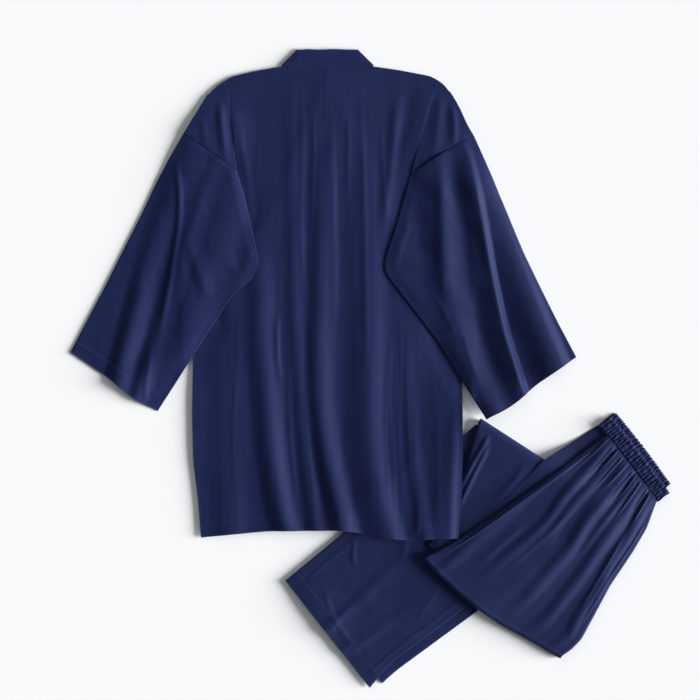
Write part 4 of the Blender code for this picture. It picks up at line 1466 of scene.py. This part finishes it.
@dataclass
class WrapTop:
    """A wrap top with dropped shoulders and wide sleeves, lying on its front.

    Attributes:
        cloths: the finishes.
        hem_width: depth of the sleeve hems.
        collar_thickness: thickness of the folded band.
        neck_height: height of the middle of the collar behind the neck.
        fold_depth: how much deeper the folds are than in the solids.
        free_from: where the back begins to wave more freely.
        free_over: length over which it does.
        neck_half: half the length of the neck seam.
        shoulder_blend: width over which the back rises beside a shoulder.
        settled_width: width over which a tube comes down at its inner edge.
    """

    cloths: Cloths
    hem_width: float = 23.0
    collar_thickness: float = 1.8
    neck_height: float = 4.1
    fold_depth: float = 1.25
    free_from: float = -330.0
    free_over: float = 120.0
    neck_half: float = 74.0
    shoulder_blend: float = 34.0
    settled_width: float = 18.0

    def front_plan(self) -> Grid:
        """Gives plan points of the left front, from its shoulder to its hem.

        Returns:
            The grid of plan points.
        """
        upper, lower, columns = 44, 62, 56
        outer = np.concatenate([soft_line(FRONT_SIDE_UPPER, upper), soft_line(FRONT_SIDE_LOWER, lower)])
        inner = np.concatenate([line_through(FRONT_DIAGONAL, upper), line_through(FRONT_WRAP_EDGE, lower)])
        return between(outer, inner, columns)

    def build_front(self, name: str, plan: Grid, layers: Sequence[Layer], seed: int, gap: float,
                    cut: Cut) -> Layer:
        """Builds one front and gives the layer that it makes.

        Args:
            name: name of the piece.
            plan: its plan points in the top's own coordinates.
            layers: what it lies on.
            seed: picks its unevenness.
            gap: room left above it.
            cut: its cut.

        Returns:
            The layer.
        """
        place = in_top(plan)
        uneven = 0.35 * ripple(plan, seed, 60.0, (1.0, 3.0)) * end_fade(plan.shape[1], 5)
        last = plan[..., 1] - plan[-1:, :, 1]
        height = laid_on(place, layers) + CLOTH / 2 + uneven - 0.12 * bell(last - 20, 1.5)
        shell = Shell(with_height(place, height), wear=bell(last, 2.0))
        lay_shell(name, shell, self.cloths.body, cut)
        return Layer(rim_of(place), layers, CLOTH, gap=gap)

    def arm_plan(self, rows: int, columns: int) -> Grid:
        """Gives plan points of the collar down the left front, from its end up to the neck."""
        return between(line_through([COLLAR_END, COLLAR_NECK_POINT], rows),
                       line_through([COLLAR_END_TOP, COLLAR_NECK_TOP], rows), columns)

    def build_collar(self, right_layers: Sequence[Layer], left_layers: Sequence[Layer]) -> None:
        """Builds one band: down one front edge, round the back neck and down the other.

        Args:
            right_layers: what the right arm lies on.
            left_layers: what the left arm lies on.
        """
        half, columns = self.collar_thickness / 2, 15
        arm_rows, neck_rows = 110, 80
        left = self.arm_plan(arm_rows, columns)
        right = flip(left)
        crown = 0.35 * np.sin(np.pi * np.linspace(0, 1, columns))
        rows = [with_height(in_top(left), laid_on(in_top(left), left_layers) + half)]
        fold = with_height(in_top(left[-1]), self.neck_height)
        angles = range(-75, 76, 25)
        rows.append(turn_under(fold, flip(COLLAR_OUTWARD), rows[0][-1][:, 2], angles))
        neck = line_through([COLLAR_NECK_POINT, COLLAR_NECK_END], neck_rows)
        behind = between(neck, soft_line(COLLAR_TOP_EDGE, neck_rows, 12), columns)
        fade = end_fade(neck_rows, 8)
        behind[:, 0, 1] -= 3.0 * fade
        lift = crown * fade[:, None] * (0.6 + 0.8 * ripple(behind, 62, 26.0))
        rows.append(with_height(in_top(behind), self.neck_height + lift))
        across = with_height(in_top(right), laid_on(in_top(right), right_layers) + half)
        fold = with_height(in_top(right[-1]), self.neck_height)
        rows.append(turn_under(fold, COLLAR_OUTWARD, across[-1][:, 2], angles[::-1]))
        rows.append(across[::-1])
        middle = np.concatenate(rows)
        wear = np.zeros(middle.shape[:2])
        wear[:, -2:] = FOLD_WEAR
        shell = Shell(middle, self.collar_thickness - 0.2, False, wear)
        begun = arm_rows + len(angles)
        seam = sew("collar_stitches", shell, range(begun, begun + neck_rows), [3], self.cloths.thread)
        cut = Cut("collar", (0.07, 1.05), Held.FOLDED, ("left_front_panel", "right_front_panel"))
        lay_shell("collar_band", shell, self.cloths.body, cut, [seam])

    def build_back(self, layers: Sequence[Layer], body: Layer) -> None:
        """Builds the back with the two dropped shoulders that turn over to the front.

        Args:
            layers: what the back lies on.
            body: the layer that the back makes.
        """
        rows, columns = 204, 164
        plan = panel(soft_line(BACK_LEFT_EDGE, rows), soft_line(BACK_RIGHT_EDGE, rows),
                     soft_line(BACK_TOP_EDGE, columns, 4), soft_line(BACK_HEM, columns, 12), 3.0)
        folds = self.fold_depth * fold_height(plan[..., 1], plan[..., 0], BACK_FOLDS, -1.0)
        free = smooth((self.free_from - plan[..., 1]) / self.free_over)
        fine = crease_height(plan, BACK_CREASES)
        uneven = (0.25 + 0.7 * free) * ripple(plan, 71, 55.0, (1.0, 4.0))
        uneven += 0.22 * ripple(plan, 72, 11.0, (1.0, 14.0))
        last = plan[..., 1] - plan[-1:, :, 1]
        sewn = last - 19.0
        neck = bell(plan[:1, :, 1] - plan[..., 1], 2.2)
        neck *= smooth((self.neck_half - np.abs(plan[..., 0])) / 8)
        hem = hem_relief(sewn, 0.28, 0.18, 1.5) - neck
        clear = np.ones(plan.shape[:2])
        bank = np.zeros(plan.shape[:2])
        for shoulder, sleeve, raised in ((LEFT_SHOULDER_ROWS, LEFT_SLEEVE_ROWS, 1.0),
                                         (RIGHT_SHOULDER_ROWS, RIGHT_SLEEVE_ROWS, 0.62)):
            away = -inside_distance(plan, rim_of(np.array(shoulder + sleeve, float)))
            clear = np.minimum(clear, smooth((away - 3) / 28))
            bank = np.maximum(bank, raised * self.shoulder_bank(plan, shoulder))
        ground = laid_on(in_top(plan), layers)
        ground = ground + (drape(ground, 160) - ground) * clear
        height = ground + CLOTH / 2 + folds + hem + bank + (fine + uneven) * (0.3 + 0.7 * clear)
        wear = bell(last, 2.0) * 0.9
        wear[:, :2] = 0.5
        wear[:, -2:] = 0.5
        shell = Shell(with_height(in_top(plan), height), wear=wear)
        parts = [shell.mesh()]
        area = shell.area()
        for table, settled in ((LEFT_SHOULDER_ROWS, 1.0), (RIGHT_SHOULDER_ROWS, 0.3)):
            shoulder = self.shoulder(table, [*layers, body], settled)
            parts.append(shoulder.mesh())
            area += shoulder.area()
        piece = make_piece("back_with_shoulders", join_meshes(parts), self.cloths.body)
        sewing = sew("back_hem_stitches", shell, [sewn_row(sewn)], range(1, columns - 1), self.cloths.thread)
        rests = ("left_front_panel", "right_front_panel", "knee_stretch", "hip_stretch")
        lay(piece, Cut("back_panel", (0.505, 0.735), Held.LAID, rests), [sewing])

    def shoulder_bank(self, plan: Grid, table: Rows) -> Grid:
        """Raises the back beside a shoulder, so that one runs into the other.

        Args:
            plan: plan points of the back.
            table: rows of the shoulder.

        Returns:
            How far each point is raised.
        """
        rows = np.array(table, float)
        away = -inside_distance(plan, rim_of(rows))
        middle = rows.mean(axis=1)
        along = middle[-1] - middle[0]
        share = (plan - middle[0]) @ along / (along @ along)
        rise = np.interp(share, [-0.15, 0.0, 0.2, 0.4, 0.6, 0.8, 0.95, 1.2],
                         [0.0, 0.4, 1.2, 2.2, 2.9, 3.0, 2.2, 0.0])
        return rise * smooth((away + 5) / 5) * (1 - smooth(away / self.shoulder_blend))

    def settle(self, plan: Grid, gap: Grid) -> Grid:
        """Brings the upper side of a tube down towards its inner edge.

        Args:
            plan: plan points of one side of the tube, the inner edge last.
            gap: room between the two sides of each row.

        Returns:
            How far each point comes down.
        """
        share = smooth(size_of(plan - plan[:, -1:]) / self.settled_width)
        return np.maximum(gap - 0.5, 0)[:, None] * (1 - share)

    def shoulder(self, table: Rows, layers: Sequence[Layer], settled: float) -> Shell:
        """Builds the part of the back that drops over the shoulder to the armhole.

        Args:
            table: its rows, from the neck side to the armhole.
            layers: what it lies on.
            settled: how far its inner edge is pressed down, 0 to 1.

        Returns:
            The shell.
        """
        rows, columns = 48, 56
        outer, inner, at = evenly_spaced(table, rows)
        plan = inset_rows(outer, inner, columns, TUBE_HEIGHT / 2)
        drawn = np.arange(6)
        thickness = np.interp(at, drawn, [0.3, 0.7, 0.9, SHELL, SHELL, SHELL])
        gap = np.interp(at, drawn, [0.35, 0.6, 1.1, 1.5, TUBE_LIFT, TUBE_LIFT])
        sink = np.interp(at, drawn, [1.38, 1.35, 0.7, 0.2, 0.0, 0.0])
        left = size_of(plan[-1, columns // 2] - plan[:, columns // 2])
        gap = gap - 0.75 * bell(left, 2.6)
        uneven = 0.5 * ripple(plan, 75, 34.0) + crease_height(plan, SHOULDER_CREASES)
        pucker = 0.5 * ripple(plan, 76, 8.0) * (bell(left, 9.0) * smooth(left / 3))[:, None]
        lift = (uneven * smooth(at / 2)[:, None] + pucker) * np.sin(np.pi * np.linspace(0, 1, columns))
        lift -= settled * self.settle(plan, gap)
        ring = tube(in_top(plan), layers, lift, gap, sink)
        wear = np.zeros(ring.shape[:2])
        wear[:, columns + 2] = 0.2
        wear[:, -3] = 0.5
        return Shell(ring, thickness, True, wear)

    def build_sleeve(self, name: str, table: Rows, folds: Sequence[Fold], creases: Sequence[Crease],
                     layers: Sequence[Layer], material: bpy.types.Material, cut: Cut) -> None:
        """Builds one sleeve, a flattened tube from the armhole to its cuff.

        Args:
            name: name of the piece.
            table: its rows, from the armhole to the cuff.
            folds: its broad folds.
            creases: its narrow ones.
            layers: what it lies on.
            material: its finish.
            cut: its cut.
        """
        rows, columns = 150, 92
        outer, inner, _ = evenly_spaced(table, rows)
        chain = np.array(table, float)
        start, end = chain[0, 0], chain[-1, 0]
        along = unit(end - start)
        across = np.array([-along[1], along[0]])
        if (chain[0, 1] - start) @ across < 0:
            across = -across
        plan = inset_rows(outer, inner, columns, TUBE_HEIGHT / 2)
        share = np.linspace(0, 1, columns)
        late = np.clip((np.arange(rows) / (rows - 1) - 0.87) / 0.13, 0, 1)[:, None]
        swing = 4.5 * np.sin(np.pi * np.clip((share - 0.4) / 0.6, 0, 1)) ** 2 * late
        plan = plan + along * swing[..., None]
        plan[0] = plan[0] - along * 1.1
        run, reach = (plan - start) @ along, (plan - start) @ across
        from_cuff = run[-1:, :] - run
        from_seam = run - run[:1, :]
        lift = self.fold_depth * fold_height(run, reach, folds) + crease_height(plan, creases)
        lift = lift + 0.9 * ripple(plan, 81 + len(name), 48.0) + 0.25 * ripple(plan, 91, 14.0)
        sewn = from_cuff - self.hem_width
        lift = lift + hem_relief(sewn, 0.5, 0.3) + 0.4 * ripple(plan, 93, 8.0) * bell(sewn, 8.0)
        lift = lift + 0.5 * ripple(plan, 94, 8.0) * bell(from_seam, 8.0)
        lift = np.maximum(lift, -0.5) * np.sin(np.pi * np.clip(share, 0.02, 0.98))[None, :] ** 0.5
        lift[:, 0] = 0
        lift[:, -1] = 0
        gap = TUBE_LIFT - 0.75 * bell(from_seam[:, columns // 2], 2.6)
        lay_tube(name, tube(in_top(plan), layers, lift - self.settle(plan, gap), gap),
                 (0.9 * bell(from_cuff, 2.0), 0.2), sewn, (material, self.cloths.thread), cut)

    def build(self, trousers: Sequence[Layer]) -> None:
        """Builds the top over the trousers.

        Args:
            trousers: layers of the trousers.
        """
        for layer in trousers:
            layer.ramp = TOP_SPREAD
        left = self.front_plan()
        left_front = self.build_front("left_front_panel", left, trousers, 51, 1.6,
                                      Cut("left_front", (0.335, 0.725), Held.LAID, ("floor",)))
        arm = rim_of(self.arm_plan(9, 3))
        room = (self.collar_thickness, 24, 40, 0.9)
        under = [*trousers, left_front, Layer(in_top(arm), trousers, *room)]
        right_front = self.build_front("right_front_panel", flip(left), under, 52, 1.9,
                                       Cut("right_front", (0.335, 0.725), Held.LAID, ("left_front_panel",)))
        self.build_collar(under, trousers)
        fronts = [*under, right_front, Layer(in_top(flip(arm)), under, *room)]
        outline = BACK_TOP_EDGE + BACK_RIGHT_EDGE[1:] + BACK_HEM[::-1][1:] + BACK_LEFT_EDGE[::-1][1:-1]
        body = Layer(in_top(outline), fronts, CLOTH, 14, 46, 0.9)
        self.build_back(fronts, body)
        over = [*fronts, body]
        left, right = self.cloths.left_sleeve, self.cloths.right_sleeve
        for node, table, folds, creases, material in (
                ("left_sleeve", LEFT_SLEEVE_ROWS, LEFT_SLEEVE_FOLDS, LEFT_SLEEVE_CREASES, left),
                ("right_sleeve", RIGHT_SLEEVE_ROWS, RIGHT_SLEEVE_FOLDS, RIGHT_SLEEVE_CREASES, right)):
            cut = Cut(node, (0.40, 0.395), Held.FOLDED, ("back_with_shoulders",))
            self.build_sleeve(node + "_tube", table, folds, creases, over, material, cut)


# Narrow creases, in each piece's own plan coordinates. On a line that runs down, left is towards larger x.
BACK_CREASES = [
    Crease(0.9, 6, 11, [(-40, -8), (-38, -120), (-41, -260), (-30, -420)]),
    Crease(0.8, 5, 9, [(-22, -60), (-20, -130), (-24, -250)]),
    Crease(0.9, 7, 12, [(8, -40), (7, -130), (12, -300), (9, -460)]),
    Crease(0.7, 5, 8, [(31, -60), (33, -120), (30, -230)]),
    Crease(0.9, 6, 10, [(52, -20), (56, -140), (60, -330), (62, -520)]),
    Crease(0.8, 6, 9, [(84, -90), (86, -160), (92, -240)]),
    Crease(0.6, 4, 8, [(100, -380), (96, -520), (104, -700)]),
    Crease(0.6, 3, 5, [(112, -340), (114, -440), (110, -560), (116, -690)]),
    Crease(0.5, 3, 4, [(104, -400), (106, -480), (103, -640), (110, -724)]),
    Crease(0.6, 3, 5, [(92, -420), (90, -560), (97, -722)]),
    Crease(0.5, 3, 4, [(122, -430), (124, -560), (132, -690)]),
    Crease(1.6, 3, 12, [(-77, -380), (-76, -450), (-68, -510)], 0.2, 0.5),
    Crease(0.7, 5, 7, [(-60, -420), (-58, -560), (-44, -722)]),
    Crease(0.5, 4, 7, [(-140, -440), (-146, -580), (-138, -716)]),
    Crease(0.5, 4, 6, [(-36, -480), (-28, -600), (-14, -720)]),
    Crease(0.5, 6, 9, [(168, -480), (172, -600), (170, -726)]),
    Crease(2.0, 10, 14, [(-150, -40), (-132, -130), (-118, -220), (-112, -300)], 0.3, 0.4),
    Crease(2.2, 14, 16, [(112, -18), (103, -110), (93, -200), (84, -300)], 0.25, 0.3),
    Crease(4.6, 30, 34,
           [(168, -24), (160, -60), (151, -96), (141, -130), (131, -166), (110, -214)], 0.12, 0.3, 0.2),
]
SHOULDER_CREASES = [
    Crease(1.6, 14, 18, [(175, -26), (171, -80), (164, -146)], 0.25, 0.3),
    Crease(2.4, 10, 12, [(193, -50), (197, -84), (196, -126)], 0.3, 0.3),
    Crease(2.6, 14, 12, [(-166, -44), (-163, -90), (-157, -144)], 0.3, 0.3),
    Crease(1.0, 12, 12, [(-198, -70), (-192, -100), (-184, -130)], 0.3, 0.3),
]
LEFT_SLEEVE_CREASES = [
    Crease(2.6, 9, 8,
           [(-236, -140), (-229, -190), (-228, -230), (-238, -290), (-252, -370), (-266, -440)], 0.15, 0.4),
    Crease(2.2, 22, 16, [(-214, -260), (-205, -300), (-190, -345), (-176, -372)], 0.3, 0.35),
    Crease(1.1, 12, 18, [(-158, -280), (-146, -310), (-132, -330)], 0.4, 0.4),
    Crease(1.1, 8, 6, [(-272, -430), (-280, -480), (-284, -520)], 0.4, 0.1),
    Crease(0.8, 6, 6, [(-300, -200), (-322, -270), (-352, -350)], 0.3, 0.4),
]
RIGHT_SLEEVE_CREASES = [
    Crease(2.6, 6, 16,
           [(222, -150), (232, -200), (250, -300), (262, -360), (281, -420), (300, -496)], 0.2, 0.05, 0.7),
    Crease(2.4, 22, 16, [(176, -130), (176, -200), (178, -300), (184, -400)], 0.25, 0.35),
    Crease(1.0, 9, 9, [(130, -230), (112, -280), (104, -316)], 0.3, 0.3),
    Crease(0.9, 7, 9, [(206, -400), (220, -450), (240, -500)], 0.3, 0.2),
    Crease(0.8, 6, 6, [(150, -330), (176, -372), (200, -420)], 0.4, 0.4),
]
KNEE_CREASES = [
    Crease(2.6, 8, 6, [(138, -172), (170, -158), (209, -143), (240, -128)], 0.15, 0.4),
    Crease(2.2, 7, 5, [(146, -160), (180, -145), (218, -126), (262, -102)], 0.15, 0.4),
    Crease(1.2, 9, 9, [(118, -100), (150, -92), (200, -84)], 0.3, 0.4),
    Crease(2.4, 7, 38, [(96, -82), (160, -77), (225, -70), (262, -72), (322, -80)], 0.2, 0.1),
]
LEG_CREASES = [
    Crease(1.7, 3, 6, [(402, -166), (414, -158), (424, -146), (428, -130)], 0.2, 0.3),
    Crease(0.9, 6, 10, [(300, -150), (340, -120), (372, -90)]),
    Crease(0.8, 8, 12, [(330, -40), (372, -20), (410, -10)]),
    Crease(1.0, 5, 8, [(480, -150), (500, -110), (506, -60), (500, -20)], 0.3, 0.3),
    Crease(0.9, 4, 7, [(470, -90), (500, -84), (522, -80)], 0.3, 0.1),
    Crease(0.9, 5, 8, [(448, -30), (486, -34), (520, -30)], 0.3, 0.1),
    Crease(1.3, 5, 5, [(300, 6), (400, 6), (460, 5), (515, 10)], 0.2, 0.1),
    Crease(1.0, 8, 5, [(300, -172), (400, -170), (500, -166)], 0.2, 0.1),
]
WAIST_PUCKERS = [
    (2.2, 2.8, 4.0, [(-2, -54), (30, -50), (76, -48)]),
    (2.3, 2.8, 3.6, [(-2, -38), (24, -33), (60, -26)]),
    (2.0, 2.4, 3.4, [(-2, -30), (20, -26), (52, -21)]),
    (2.4, 2.8, 3.8, [(-2, -17), (30, -11), (70, -4)]),
    (2.0, 2.4, 3.4, [(-2, -5), (22, -1), (54, 4)]),
    (2.3, 2.8, 3.6, [(-2, 11), (26, 16), (64, 24)]),
    (2.1, 2.4, 3.4, [(-2, 17), (22, 24), (56, 31)]),
    (2.4, 2.8, 3.8, [(-2, 30), (30, 40), (76, 52)]),
    (2.0, 2.4, 3.2, [(-2, 46), (20, 53), (52, 64)]),
    (2.3, 2.8, 3.4, [(-2, 53), (24, 63), (64, 79)]),
]
HIP_CREASES = [Crease(*pucker, 0.05, 0.6) for pucker in WAIST_PUCKERS] + [
    Crease(1.8, 2.4, 3.6, [(20, -54), (122, -57), (200, -60), (266, -63), (328, -70)], 0.1, 0.2),
    Crease(1.8, 8.0, 12.0, [(70, -8), (130, 2), (200, 8), (270, 10)], 0.3, 0.5),
    Crease(1.3, 3.5, 6.0, [(60, 76), (110, 96), (160, 116), (206, 134)], 0.2, 0.4),
    Crease(1.9, 2.6, 4.0, [(30, 84), (70, 100), (120, 116), (170, 136), (214, 152)], 0.1, 0.3),
    Crease(1.2, 9.0, 12.0, [(170, -30), (230, -26), (290, -20)], 0.3, 0.4),
]


@dataclass(frozen=True)
class Studio:
    """The floor, the light and the camera.

    Attributes:
        centre: what the camera looks down on, in metres.
        view_width: width of the view, in metres.
        height: height of the camera, in metres.
        cloth_height: height at which the width is measured, in metres.
    """

    centre: tuple[float, float] = (-0.03146, 0.02713)
    view_width: float = 1.085
    height: float = 4.0
    cloth_height: float = 0.004

    def floor(self) -> None:
        """Builds a plain pale floor."""
        material, tree, shader = new_material("pale_floor")
        cloud = add_node(tree, "TexNoise", {"Scale": 1.5})["Fac"]
        tint = mix_colours(tree, cloud, (0.90, 0.90, 0.915), (0.93, 0.93, 0.94))
        fill(tree, shader, {"Base Color": tint, "Roughness": 0.9, "Specular IOR Level": 0.1})
        mesh = bpy.data.meshes.new("floor")
        mesh.from_pydata([(-6, -6, 0), (6, -6, 0), (6, 6, 0), (-6, 6, 0)], [], [(0, 1, 2, 3)])
        mesh.materials.append(material)
        linked("floor", mesh)

    def sun(self, name: str, azimuth: float, elevation: float, strength: float, spread: float) -> None:
        """Adds a soft light from one direction.

        Args:
            name: name of the light.
            azimuth: direction it comes from, in degrees from the frame's x.
            elevation: height above the floor, in degrees.
            strength: its strength.
            spread: how wide it is, in degrees.
        """
        light = bpy.data.lights.new(name, "SUN")
        light.energy = strength
        light.angle = math.radians(spread)
        linked(name, light).rotation_euler = (0.0, math.radians(90 - elevation), math.radians(azimuth))

    def build(self) -> None:
        """Builds the floor, the lights and the camera."""
        self.floor()
        self.sun("window_light", -4.0, 17.0, 8.5, 32.0)
        self.sun("bounce_light", 100.0, 50.0, 0.3, 60.0)
        world = bpy.data.worlds.new("pale_room")
        world.use_nodes = True
        background = world.node_tree.nodes["Background"]
        fill(world.node_tree, background, {"Color": (0.94, 0.96, 1.0, 1.0), "Strength": 0.19})
        bpy.context.scene.world = world
        bpy.context.scene.view_settings.view_transform = "Standard"
        lens = bpy.data.cameras.new("camera")
        lens.sensor_width = 36.0
        lens.lens = lens.sensor_width * (self.height - self.cloth_height) / self.view_width
        lens.clip_end = 30.0
        camera = linked("camera", lens)
        camera.location = (*self.centre, self.height)
        bpy.context.scene.camera = camera


def main() -> None:
    """Builds the set and its studio."""
    logging.basicConfig(level=logging.INFO, format="%(name)s %(message)s")
    Studio().build()
    cloths = Cloths.build()
    layers = Trousers(cloths).build()
    LOG.info("trousers laid")
    WrapTop(cloths).build(layers)
    LOG.info("top laid")


if __name__ == "__main__":
    main()
